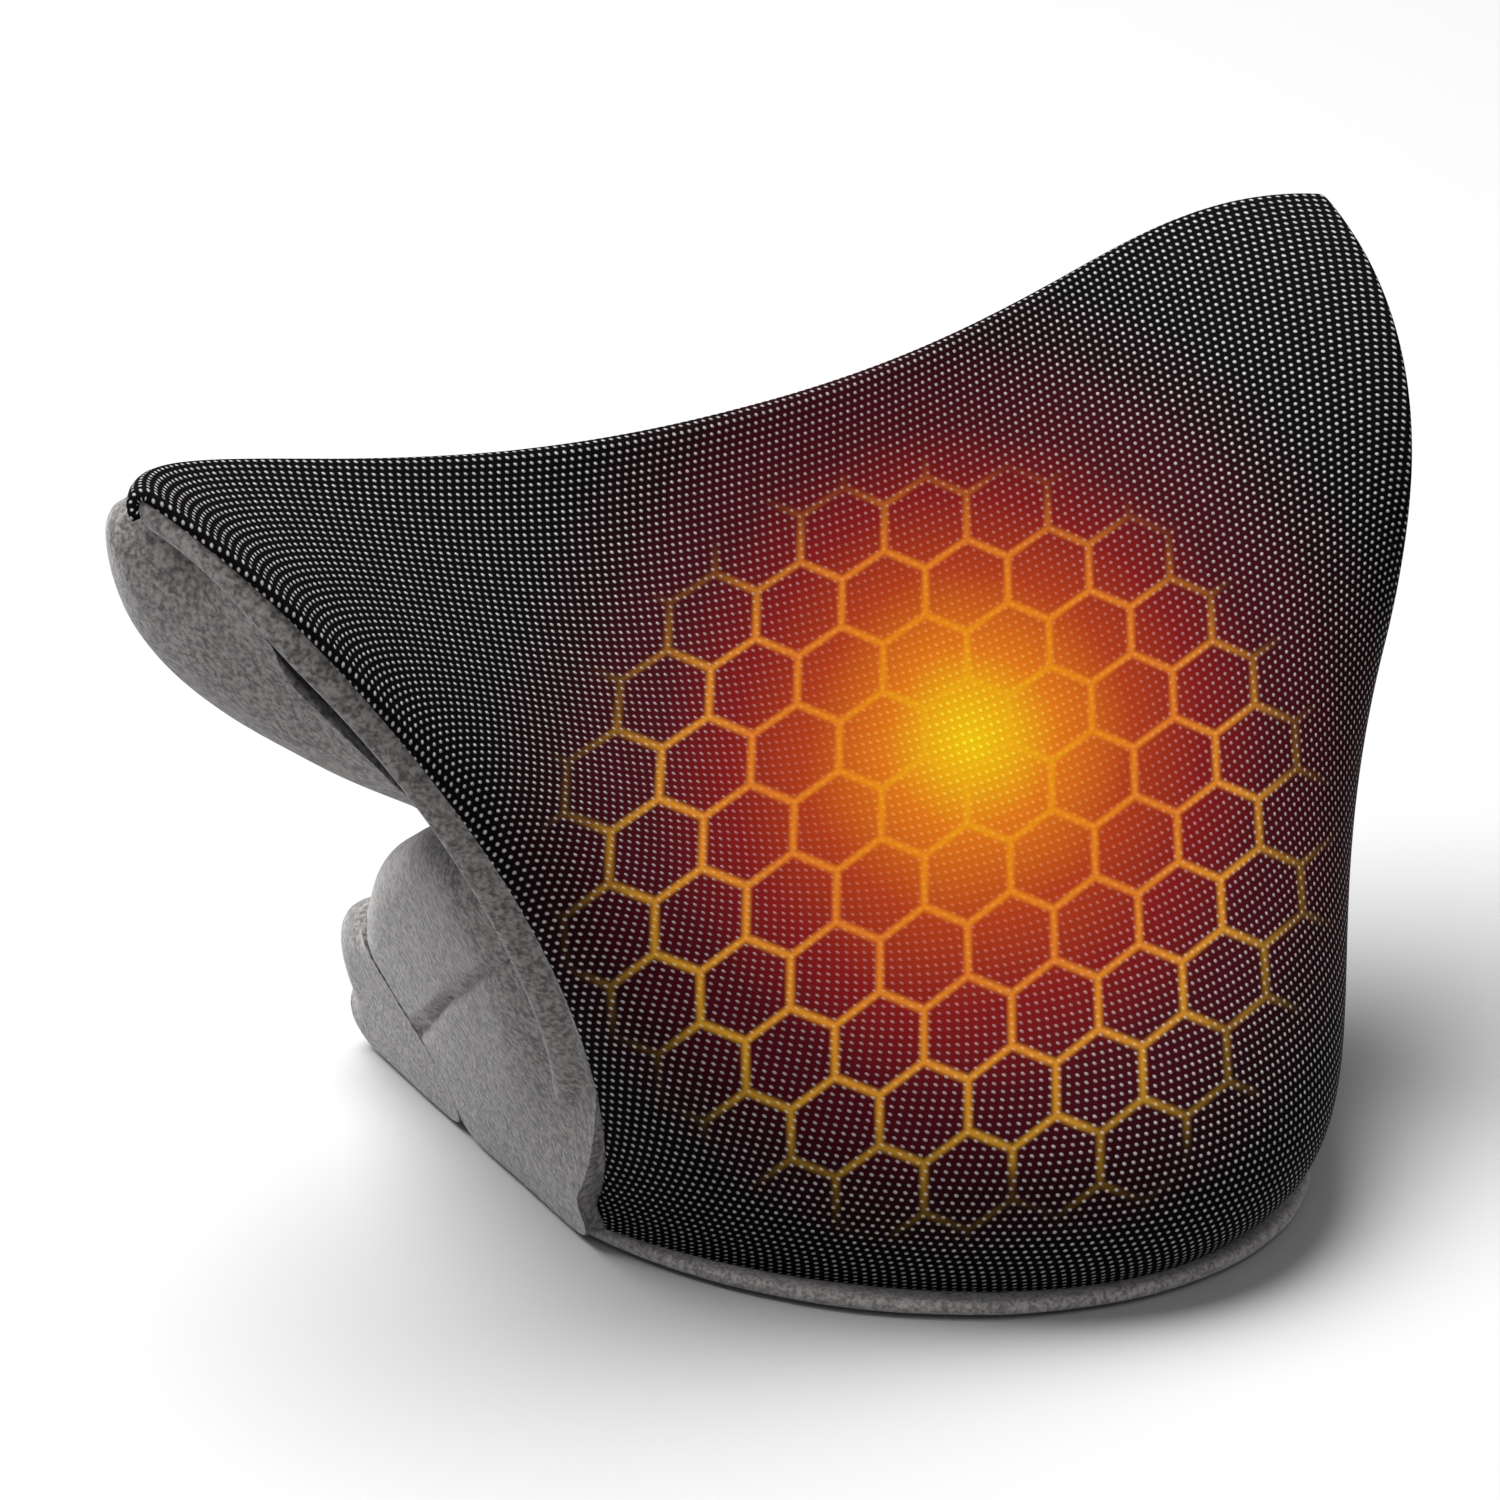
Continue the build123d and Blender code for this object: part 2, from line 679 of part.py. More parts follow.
def make_ball(spot, side):
    """Build one kneading ball with its bore and flattened ends."""
    centre = head_plane(spot).offset(side * ball_orbit)
    with Locations(centre.location):
        Sphere(ball_radius)
    with BuildSketch(centre.offset(-ball_radius)) as bore:
        Circle(pin_radius + running_clearance)
    extrude(bore.sketch, amount=2 * ball_radius, mode=Mode.SUBTRACT)


def make_clips(spot):
    """Build the two retaining clips that hold the balls on a pin."""
    for side in (-1, 1):
        low = ball_orbit + ball_radius + 0.2
        with BuildSketch(head_plane(spot).offset(side * low)) as ring:
            Circle(clip_radius)
            Circle(pin_radius, mode=Mode.SUBTRACT)
        extrude(ring.sketch, amount=side * clip_width)


with BuildPart() as left_kneading_arm:
    post(left_axis, hub_lift, hub_top, hub_radius)
    fillet(left_kneading_arm.edges().group_by(cassette_axis)[-1], radius=1.0)
    make_arm_bores(left_axis)
left_kneading_arm.part.label = "left_kneading_arm"

with BuildPart() as right_kneading_arm:
    post(right_axis, hub_lift, hub_top, hub_radius)
    fillet(right_kneading_arm.edges().group_by(cassette_axis)[-1], radius=1.0)
    make_arm_bores(right_axis)
right_kneading_arm.part.label = "right_kneading_arm"

with BuildPart() as left_ball_pin:
    make_pins(left_axis)
left_ball_pin.part.label = "left_ball_pin"

with BuildPart() as right_ball_pin:
    make_pins(right_axis)
right_ball_pin.part.label = "right_ball_pin"

with BuildPart() as left_ball_clips:
    make_clips(left_axis)
left_ball_clips.part.label = "left_ball_clips"

with BuildPart() as right_ball_clips:
    make_clips(right_axis)
right_ball_clips.part.label = "right_ball_clips"

with BuildPart() as left_outer_ball:
    make_ball(left_axis, -1)
left_outer_ball.part.label = "left_outer_ball"

with BuildPart() as left_inner_ball:
    make_ball(left_axis, 1)
left_inner_ball.part.label = "left_inner_ball"

with BuildPart() as right_inner_ball:
    make_ball(right_axis, -1)
right_inner_ball.part.label = "right_inner_ball"

with BuildPart() as right_outer_ball:
    make_ball(right_axis, 1)
right_outer_ball.part.label = "right_outer_ball"

# ---- Electronics tray -----------------------------------------------------------------------
tray_middle = (tray_front + tray_back) / 2
tray_depth = tray_back - tray_front


def board_holes(radius, low, high, mode=Mode.SUBTRACT):
    """Cut, or fill, the two round board fixings along Y, between two levels."""
    for x in (-board_screw_x, board_screw_x):
        with BuildSketch(Plane.XZ.offset(-low)) as section:
            with Locations((x, control_z)):
                Circle(radius)
        extrude(section.sketch, amount=-(high - low), mode=mode)


with BuildPart() as electronics_tray:
    with BuildSketch(Plane.XY.offset(tray_bottom)):
        with Locations((0, tray_middle)):
            Rectangle(2 * tray_half_width, tray_depth)
    extrude(amount=tray_top - tray_wall - tray_bottom)
    with BuildSketch(Plane.XY.offset(tray_bottom + tray_wall)):
        with Locations((0, tray_middle + tray_wall)):
            Rectangle(2 * (tray_half_width - tray_wall), tray_depth)
    extrude(amount=tray_top, mode=Mode.SUBTRACT)
    with BuildSketch(Plane.XY.offset(tray_bottom + tray_wall)):
        with Locations(*[(x, board_y - 2.4) for x in (-board_screw_x, board_screw_x)]):
            Rectangle(4, 4.4)
    extrude(amount=board_top - tray_bottom - tray_wall)
    board_holes(board_screw_radius, board_y - 5, board_y)
electronics_tray.part.label = "electronics_tray"

with BuildPart() as tray_lid:
    with BuildSketch(Plane.XY.offset(tray_top - tray_wall + 0.02)):
        with Locations((0, tray_middle)):
            Rectangle(2 * tray_half_width, tray_depth)
    extrude(amount=tray_wall)
    fillet(tray_lid.edges().filter_by(Axis.Z), radius=2.0)
tray_lid.part.label = "tray_lid"

cell_y = tray_front + tray_wall + cell_radius + 0.3
cell_z = tray_bottom + tray_wall + cell_radius + 0.1
with BuildPart() as battery_cells:
    for x in (-cell_length - 0.4, 0.4):
        with BuildSketch(Plane.YZ.offset(x)):
            with Locations((cell_y, cell_z)):
                Circle(cell_radius)
        extrude(amount=cell_length)
    fillet(battery_cells.edges().filter_by(GeomType.CIRCLE), radius=0.8)
battery_cells.part.label = "battery_cells"

board_face = board_y + board_thickness
with BuildPart() as control_board:
    with BuildSketch(Plane.XZ.offset(-board_face)):
        with Locations((0, (board_bottom + board_top) / 2)):
            RectangleRounded(2 * board_half_width, board_top - board_bottom, 1.5)
    extrude(amount=board_thickness)
    board_holes(board_screw_radius + 0.2, board_y - 0.1, board_face + 0.1)
control_board.part.label = "control_board"

with BuildPart() as board_screws:
    board_holes(board_screw_radius - 0.05, board_y - 4, board_face, Mode.ADD)
    board_holes(board_screw_head, board_face, board_face + screw_head_height, Mode.ADD)
board_screws.part.label = "board_screws"

with BuildPart() as tact_switches:
    for x in (power_x, heat_x):
        with BuildSketch(Plane.XZ.offset(-board_face)):
            with Locations((x, control_z)):
                RectangleRounded(6, 6, 0.6)
        extrude(amount=-3.4)
        with BuildSketch(Plane.XZ.offset(-board_face - 3.4)):
            with Locations((x, control_z)):
                Circle(1.6)
        extrude(amount=-1.0)
tact_switches.part.label = "tact_switches"


def bezel_cut(x, z, half_width, half_height):
    """Cut one rounded window through the bezel."""
    with BuildSketch(Plane.XZ.offset(-bezel_back)) as window:
        with Locations((x, z)):
            RectangleRounded(2 * half_width, 2 * half_height, min(half_width, half_height) * 0.9)
    extrude(window.sketch, amount=bezel_back - bezel_front, mode=Mode.SUBTRACT)


flap_bottom = control_z - flap_height / 2
flap_recess = flap_thickness + 0.3
with BuildPart() as control_bezel:
    with BuildSketch(Plane.XZ.offset(-bezel_back)):
        with Locations((0, (bezel_bottom + bezel_top) / 2)):
            RectangleRounded(2 * bezel_half_width, bezel_top - bezel_bottom, 4.0)
    extrude(amount=bezel_back - bezel_front)
    fillet(control_bezel.faces().sort_by(Axis.Y)[-1].edges(), radius=0.8)
    for x in (power_x, heat_x):
        with BuildSketch(Plane.XZ.offset(-bezel_back)):
            with Locations((x, control_z)):
                Circle(button_radius + button_gap)
        extrude(amount=bezel_back - bezel_front, mode=Mode.SUBTRACT)
    with BuildSketch(Plane.XZ.offset(-bezel_back)):
        with Locations((led_x, control_z)):
            Circle(led_radius)
    extrude(amount=bezel_back - bezel_front, mode=Mode.SUBTRACT)
    bezel_cut(port_x, control_z, port_half_width + 0.3, port_half_height + 0.3)
    with BuildSketch(Plane.XZ.offset(-bezel_back)):
        with Locations((port_x, control_z + 0.6)):
            Rectangle(2 * flap_half_width + 0.6, flap_height + 2.4)
    extrude(amount=flap_recess, mode=Mode.SUBTRACT)
control_bezel.part.label = "control_bezel"


def make_button(x):
    """Build one push button: a domed cap with a retaining flange and a stem."""
    low = bezel_front - 0.1
    with BuildSketch(Plane.XZ.offset(-low)) as cap:
        with Locations((x, control_z)):
            Circle(button_radius)
    extrude(cap.sketch, amount=-(bezel_back + button_proud - low))


with BuildPart() as power_button:
    make_button(power_x)
    fillet(power_button.faces().sort_by(Axis.Y)[-1].edges(), radius=0.9)
    with BuildSketch(Plane.XZ.offset(-(bezel_front - 0.1))):
        with Locations((power_x, control_z)):
            Circle(button_radius + 0.9)
    extrude(amount=0.8)
power_button.part.label = "power_button"

with BuildPart() as heat_button:
    make_button(heat_x)
    fillet(heat_button.faces().sort_by(Axis.Y)[-1].edges(), radius=0.9)
    with BuildSketch(Plane.XZ.offset(-(bezel_front - 0.1))):
        with Locations((heat_x, control_z)):
            Circle(button_radius + 0.9)
    extrude(amount=0.8)
heat_button.part.label = "heat_button"

with BuildPart() as led_lens:
    with BuildSketch(Plane.XZ.offset(-bezel_front)):
        with Locations((led_x, control_z)):
            Circle(led_radius)
    extrude(amount=-(bezel_back - bezel_front + 0.2))
    fillet(led_lens.faces().sort_by(Axis.Y)[-1].edges(), radius=0.3)
led_lens.part.label = "led_lens"

port_back = bezel_back - flap_recess - 0.2
with BuildPart() as usb_port:
    with BuildSketch(Plane.XZ.offset(-board_face)):
        with Locations((port_x, control_z)):
            SlotOverall(2 * port_half_width, 2 * port_half_height)
    extrude(amount=-(port_back - board_face))
    with BuildSketch(Plane.XZ.offset(-(board_face + 1.0))):
        with Locations((port_x, control_z)):
            SlotOverall(2 * port_half_width - 0.7, 2 * port_half_height - 0.7)
    extrude(amount=-(port_back - board_face - 1.0), mode=Mode.SUBTRACT)
    with BuildSketch(Plane.XZ.offset(-(board_face + 1.0))):
        with Locations((port_x, control_z)):
            Rectangle(2 * port_half_width - 3.0, 0.7)
    extrude(amount=-(port_back - board_face - 1.8))
usb_port.part.label = "usb_port"

hinge_y = bezel_back - flap_thickness / 2
hinge_z = flap_bottom + flap_height + 0.6
with BuildPart() as port_flap:
    with BuildSketch(Plane.XZ.offset(-(bezel_back - flap_thickness))):
        with Locations((port_x, control_z)):
            Rectangle(2 * flap_half_width, flap_height)
    extrude(amount=-flap_thickness)
    with BuildSketch(Plane.YZ.offset(port_x - flap_half_width)):
        with Locations((hinge_y, hinge_z)):
            Circle(flap_hinge_radius)
        with Locations((hinge_y, hinge_z - 0.7)):
            Rectangle(2 * flap_hinge_radius * 0.75, 1.4)
    extrude(amount=2 * flap_half_width)
port_flap.part.label = "port_flap"

# ---- Zip across the notch -------------------------------------------------------------------
zip_slope = math.radians(33.5)
zip_plane = Plane(
    origin=(0, 83.2, 43.6),
    x_dir=(1, 0, 0),
    z_dir=(0, math.sin(zip_slope), math.cos(zip_slope)),
)
with BuildPart() as zip_tape:
    with BuildSketch(zip_plane):
        RectangleRounded(zip_length, zip_tape_width, 2.0)
    extrude(amount=zip_tape_thickness)
zip_tape.part.label = "zip_tape"

tooth_count = int((zip_length - 8) / zip_pitch)
with BuildPart() as zip_teeth:
    with BuildSketch(zip_plane.offset(zip_tape_thickness)):
        Rectangle(zip_length - 6, zip_bar_width)
    extrude(amount=zip_height * 0.6)
    with BuildSketch(zip_plane.offset(zip_tape_thickness)):
        with GridLocations(zip_pitch, 0, tooth_count, 1):
            Rectangle(zip_tooth, 2 * zip_row)
    extrude(amount=zip_height)
zip_teeth.part.label = "zip_teeth"

slider_low = zip_tape_thickness + zip_gap
slider_high = zip_tape_thickness + zip_height + zip_gap + slider_wall
with BuildPart() as zip_slider:
    with BuildSketch(zip_plane.offset(slider_low)):
        with Locations((slider_start, 0)):
            RectangleRounded(slider_length, slider_width, 2.4)
    extrude(amount=slider_high - slider_low)
    with BuildSketch(zip_plane.offset(slider_low)):
        with Locations((slider_start, 0)):
            Rectangle(slider_length + 2, 2 * (zip_row + zip_gap))
    extrude(amount=slider_high - slider_wall - slider_low, mode=Mode.SUBTRACT)
    for side in (-1, 1):
        with BuildSketch(zip_plane.offset(slider_high)):
            with Locations((slider_start, side * 1.9)):
                Rectangle(3.0, 0.9)
        extrude(amount=bail_rise + 0.9)
    bail_height = slider_high + bail_rise
    bail_plane = Plane(
        origin=zip_plane.from_local_coords(Vector(slider_start, -2.3, bail_height)),
        x_dir=(1, 0, 0),
        z_dir=zip_plane.y_dir,
    )
    with BuildSketch(bail_plane):
        Circle(bail_radius)
    extrude(amount=4.6)
zip_slider.part.label = "zip_slider"

eye_plane = bail_plane.offset(0.9)
with BuildPart() as zip_pull:
    with BuildSketch(eye_plane):
        Circle(bail_radius + 0.85)
        with Locations((1.5, 0)):
            Rectangle(3.0, pull_thickness)
        Circle(bail_radius + running_clearance, mode=Mode.SUBTRACT)
    extrude(amount=2.8)
    with BuildSketch(zip_plane.offset(bail_height - pull_thickness / 2)):
        with Locations((slider_start + 2.2 + pull_length / 2, 0)):
            RectangleRounded(pull_length, pull_width, 2.0)
        with Locations((slider_start + pull_length - 2.0, 0)):
            SlotOverall(5.0, 2.0, mode=Mode.SUBTRACT)
    extrude(amount=pull_thickness)
zip_pull.part.label = "zip_pull"

finished = [
    mesh_cover, heating_film, saddle_foam, left_edge_band, right_edge_band, arm_bolster,
    left_arm_side, right_arm_side, base_cushion, left_base_side, right_base_side, heel_pad,
    base_pad, grip_dots, left_output_gear, right_output_gear, reduction_gear, reduction_axle,
    motor_pinion, drive_motor, motor_screws, cassette_front, cassette_rear, cassette_screws,
    left_bush, right_bush, left_rear_bush, right_rear_bush, left_kneading_arm,
    right_kneading_arm, left_ball_pin, right_ball_pin, left_ball_clips, right_ball_clips,
    left_outer_ball, left_inner_ball, right_inner_ball, right_outer_ball, electronics_tray,
    tray_lid, battery_cells, control_board, board_screws, tact_switches, control_bezel,
    power_button, heat_button, led_lens, usb_port, port_flap, zip_tape, zip_teeth, zip_slider,
    zip_pull,
]
for piece in finished:
    export_step(piece.part, f"parts/{piece.part.label}.step")
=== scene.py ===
"""Heated shiatsu neck massager: its soft outside, its finishes and a plain studio.

Everything is in metres in the frame's own axes: +X across the neck, -Y the closed front of the C,
+Y its open back and +Z up, with the origin on the floor under the saddle.
"""
import logging
import math
from dataclasses import dataclass, field
from enum import Enum
from typing import Callable, Iterable, Sequence

import bpy
import numpy as np
from mathutils import Matrix, Vector, noise


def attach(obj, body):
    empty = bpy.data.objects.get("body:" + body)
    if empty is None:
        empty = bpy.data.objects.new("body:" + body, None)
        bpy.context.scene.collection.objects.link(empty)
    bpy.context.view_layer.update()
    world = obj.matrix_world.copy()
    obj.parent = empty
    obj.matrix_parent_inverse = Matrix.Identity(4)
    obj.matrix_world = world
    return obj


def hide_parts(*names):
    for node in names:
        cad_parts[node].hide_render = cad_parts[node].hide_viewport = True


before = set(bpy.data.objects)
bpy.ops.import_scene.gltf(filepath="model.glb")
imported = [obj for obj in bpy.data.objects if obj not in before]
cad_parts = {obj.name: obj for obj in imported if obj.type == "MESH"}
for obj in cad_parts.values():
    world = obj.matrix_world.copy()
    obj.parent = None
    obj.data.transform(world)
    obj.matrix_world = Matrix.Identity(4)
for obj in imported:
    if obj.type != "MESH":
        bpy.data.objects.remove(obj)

LOG = logging.getLogger("neck_massager")
MM = 0.001
CRADLE = "cradle"

Profile = list[tuple[float, float]]
Loop = list[Vector]


class Side(Enum):
    """The two sides of the massager, with their sign along X."""

    LEFT = -1
    RIGHT = 1

    @property
    def word(self) -> str:
        """The side's name as a piece name starts with it."""
        return self.name.lower()


# ---------------------------------------------------------------------------- small helpers


def smooth_step(low: float, high: float, value: float) -> float:
    """Ease from 0 at low to 1 at high.

    Args:
        low: Where the step starts.
        high: Where the step ends.
        value: The place asked for.

    Returns:
        A share from 0 to 1.
    """
    share = min(max((value - low) / (high - low), 0.0), 1.0)
    return share * share * (3 - 2 * share)


def bezier(points: Sequence[tuple[float, float]], t: float) -> tuple[float, float]:
    """Return the point of a cubic curve.

    Args:
        points: The curve's four control points.
        t: The place along it, from 0 to 1.

    Returns:
        The two coordinates of the point.
    """
    weights = ((1 - t) ** 3, 3 * t * (1 - t) ** 2, 3 * t * t * (1 - t), t ** 3)
    return tuple(sum(w * p[i] for w, p in zip(weights, points)) for i in (0, 1))


def round_corners(corners: Loop, radius: float, steps: int = 6) -> Loop:
    """Round every corner of a closed outline.

    Args:
        corners: The outline's corners in order.
        radius: How far from a corner the rounding starts, at most.
        steps: How many points each rounding has.

    Returns:
        The rounded outline's points.
    """
    points: Loop = []
    count = len(corners)
    for i, corner in enumerate(corners):
        before, after = corners[i - 1], corners[(i + 1) % count]
        into, out = before - corner, after - corner
        start = corner + into.normalized() * min(radius, into.length * 0.48)
        end = corner + out.normalized() * min(radius, out.length * 0.48)
        for k in range(steps):
            w = k / (steps - 1)
            points.append(start * (1 - w) ** 2 + corner * 2 * w * (1 - w) + end * w * w)
    return points


def respace(points: Loop, count: int) -> Loop:
    """Space a closed outline's points evenly.

    Args:
        points: The outline's points.
        count: How many points are wanted.

    Returns:
        That many points, evenly spaced from the first one on.
    """
    closed = np.array([tuple(p) for p in [*points, points[0]]])
    steps = np.linalg.norm(np.diff(closed, axis=0), axis=1)
    run = np.concatenate([[0.0], np.cumsum(steps)])
    places = np.linspace(0, run[-1], count, endpoint=False)
    columns = [np.interp(places, run, closed[:, k]) for k in range(closed.shape[1])]
    return [Vector(row) for row in zip(*columns)]


def distance_to_path(points: np.ndarray, path: Sequence[tuple[float, float]]) -> np.ndarray:
    """Measure how far points lie from an open path in a plane.

    Args:
        points: An array of two-column points.
        path: The path's points.

    Returns:
        The least distance of each point to the path.
    """
    ends = np.array(path, float)
    least = np.full(len(points), np.inf)
    for a, b in zip(ends[:-1], ends[1:]):
        along = b - a
        share = np.clip((points - a) @ along / max(along @ along, 1e-12), 0, 1)
        gap = np.linalg.norm(points - (a + share[:, None] * along), axis=1)
        least = np.minimum(least, gap)
    return least


def new_piece(name: str, points: Iterable[Vector], faces: Iterable[Sequence[int]]) -> bpy.types.Object:
    """Make a smooth-shaded mesh object.

    Args:
        name: The piece's name.
        points: Its vertices.
        faces: Its faces as vertex numbers.

    Returns:
        The new object, linked to the scene.
    """
    mesh = bpy.data.meshes.new(name)
    mesh.from_pydata([tuple(p) for p in points], [], [tuple(f) for f in faces])
    mesh.validate()
    mesh.polygons.foreach_set("use_smooth", [True] * len(mesh.polygons))
    piece = bpy.data.objects.new(name, mesh)
    bpy.context.scene.collection.objects.link(piece)
    return piece


def set_point_vectors(piece: bpy.types.Object, name: str, values: Iterable[Sequence[float]]) -> None:
    """Store a vector for each vertex, for a material to read.

    Args:
        piece: The mesh object.
        name: The attribute's name.
        values: One vector of three numbers for each vertex.
    """
    layer = piece.data.attributes.new(name, "FLOAT_VECTOR", "POINT")
    layer.data.foreach_set("vector", np.array(list(values), np.float32).ravel())


def grid_faces(rows: int, columns: int, close_columns: bool = False) -> list[tuple[int, ...]]:
    """Return the quads of a grid of vertices stored row by row.

    Args:
        rows: How many rows there are.
        columns: How many vertices a row has.
        close_columns: Whether each row is a closed ring.

    Returns:
        The faces as vertex numbers.
    """
    last = columns if close_columns else columns - 1
    return [
        (r * columns + c, r * columns + (c + 1) % columns,
         (r + 1) * columns + (c + 1) % columns, (r + 1) * columns + c)
        for r in range(rows - 1) for c in range(last)
    ]


def face_outward(piece: bpy.types.Object) -> None:
    """Turn a closed mesh's faces so that they all look outward."""
    import bmesh
    work = bmesh.new()
    work.from_mesh(piece.data)
    bmesh.ops.recalc_face_normals(work, faces=work.faces)
    work.to_mesh(piece.data)
    work.free()


def apply_modifiers(piece: bpy.types.Object) -> None:
    """Fix a piece's modifiers into its mesh."""
    graph = bpy.context.evaluated_depsgraph_get()
    made = bpy.data.meshes.new_from_object(piece.evaluated_get(graph), depsgraph=graph)
    piece.modifiers.clear()
    piece.data = made


def add_subdivision(piece: bpy.types.Object, levels: int = 1) -> None:
    """Smooth a piece with a subdivision surface."""
    modifier = piece.modifiers.new("smooth", "SUBSURF")
    modifier.levels = levels
    modifier.render_levels = levels


def dress(piece: bpy.types.Object, material: bpy.types.Material) -> None:
    """Give a new piece its material and its body.

    Args:
        piece: The mesh object.
        material: Its finish.
    """
    piece.data.materials.clear()
    piece.data.materials.append(material)
    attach(piece, CRADLE)


# ---------------------------------------------------------------------------- shader building


class Shader:
    """A node tree under construction, with short ways to add and link its nodes."""

    def __init__(self, tree: bpy.types.NodeTree) -> None:
        """Start on a node tree."""
        self.tree = tree

    def node(self, kind: str, **settings: object) -> bpy.types.Node:
        """Add one node.

        Args:
            kind: The node's type name.
            settings: Values for the node's own properties.

        Returns:
            The new node.
        """
        made = self.tree.nodes.new(kind)
        for key, value in settings.items():
            setattr(made, key, value)
        return made

    def put(self, value: object, socket: bpy.types.NodeSocket) -> None:
        """Link an output, or write a plain value, into an input socket."""
        if isinstance(value, bpy.types.NodeSocket):
            self.tree.links.new(value, socket)
        else:
            socket.default_value = value

    def math(self, operation: str, *values: object, clamp: bool = False) -> bpy.types.NodeSocket:
        """Add a Math node and return its output.

        Args:
            operation: The node's operation.
            values: Its inputs, as sockets or numbers.
            clamp: Whether the result is kept from 0 to 1.

        Returns:
            The value output.
        """
        made = self.node("ShaderNodeMath", operation=operation, use_clamp=clamp)
        for value, socket in zip(values, made.inputs):
            self.put(value, socket)
        return made.outputs[0]

    def vector(self, operation: str, *values: object) -> bpy.types.NodeSocket:
        """Add a Vector Math node and return its vector output."""
        made = self.node("ShaderNodeVectorMath", operation=operation)
        for value, socket in zip(values, made.inputs):
            self.put(value, socket)
        return made.outputs[1] if operation in ("LENGTH", "DOT_PRODUCT", "DISTANCE") else made.outputs[0]

    def noise(self, coordinates: object, scale: float, detail: float = 2.0) -> bpy.types.NodeSocket:
        """Add a noise texture and return its factor."""
        made = self.node("ShaderNodeTexNoise")
        self.put(coordinates, made.inputs["Vector"])
        made.inputs["Scale"].default_value = scale
        made.inputs["Detail"].default_value = detail
        return made.outputs[0]

    def ease(self, value: object, low: object, high: object) -> bpy.types.NodeSocket:
        """Return a smooth step of a value between two levels."""
        made = self.node("ShaderNodeMapRange", interpolation_type="SMOOTHSTEP")
        for item, socket in zip((value, low, high), made.inputs):
            self.put(item, socket)
        return made.outputs[0]

    def mix(self, factor: object, first: object, second: object, blend: str = "MIX") -> bpy.types.NodeSocket:
        """Mix two colours and return the colour.

        Args:
            factor: How much of the second colour there is.
            first: The first colour.
            second: The second colour.
            blend: How they are blended.

        Returns:
            The mixed colour output.
        """
        made = self.node("ShaderNodeMix", data_type="RGBA", blend_type=blend)
        self.put(factor, made.inputs[0])
        self.put(first, made.inputs[6])
        self.put(second, made.inputs[7])
        return made.outputs[2]

    def ramp(self, factor: object, stops: Sequence[tuple[float, Sequence[float]]]) -> bpy.types.NodeSocket:
        """Return a colour ramp's colour.

        Args:
            factor: The place on the ramp.
            stops: The places and colours of its stops.

        Returns:
            The colour output.
        """
        made = self.node("ShaderNodeValToRGB")
        elements = made.color_ramp.elements
        while len(elements) < len(stops):
            elements.new(0.5)
        for element, (place, colour) in zip(elements, stops):
            element.position = place
            element.color = (*colour, 1.0)
        self.put(factor, made.inputs[0])
        return made.outputs[0]

    def bump(self, height: object, depth: float, strength: float = 1.0) -> bpy.types.NodeSocket:
        """Return the normal of a bump of a real depth."""
        made = self.node("ShaderNodeBump")
        made.inputs["Strength"].default_value = strength
        made.inputs["Distance"].default_value = depth
        self.put(height, made.inputs["Height"])
        return made.outputs["Normal"]

    def place(self, group: bpy.types.NodeTree, **values: object) -> bpy.types.Node:
        """Place a node group with its own values."""
        made = self.node("ShaderNodeGroup", node_tree=group)
        for name, value in values.items():
            self.put(value, made.inputs[name.replace("_", " ").capitalize()])
        return made


def new_group(name: str, inputs: Sequence[tuple[str, str]],
              outputs: Sequence[tuple[str, str]]) -> tuple[Shader, bpy.types.Node, bpy.types.Node]:
    """Start a node group with named sockets.

    Args:
        name: The group's name.
        inputs: Socket names with their types.
        outputs: Socket names with their types.

    Returns:
        The shader helper for the group and its input and output nodes.
    """
    tree = bpy.data.node_groups.new(name, "ShaderNodeTree")
    for label, kind in inputs:
        tree.interface.new_socket(label, in_out="INPUT", socket_type=kind)
    for label, kind in outputs:
        tree.interface.new_socket(label, in_out="OUTPUT", socket_type=kind)
    shader = Shader(tree)
    return shader, shader.node("NodeGroupInput"), shader.node("NodeGroupOutput")


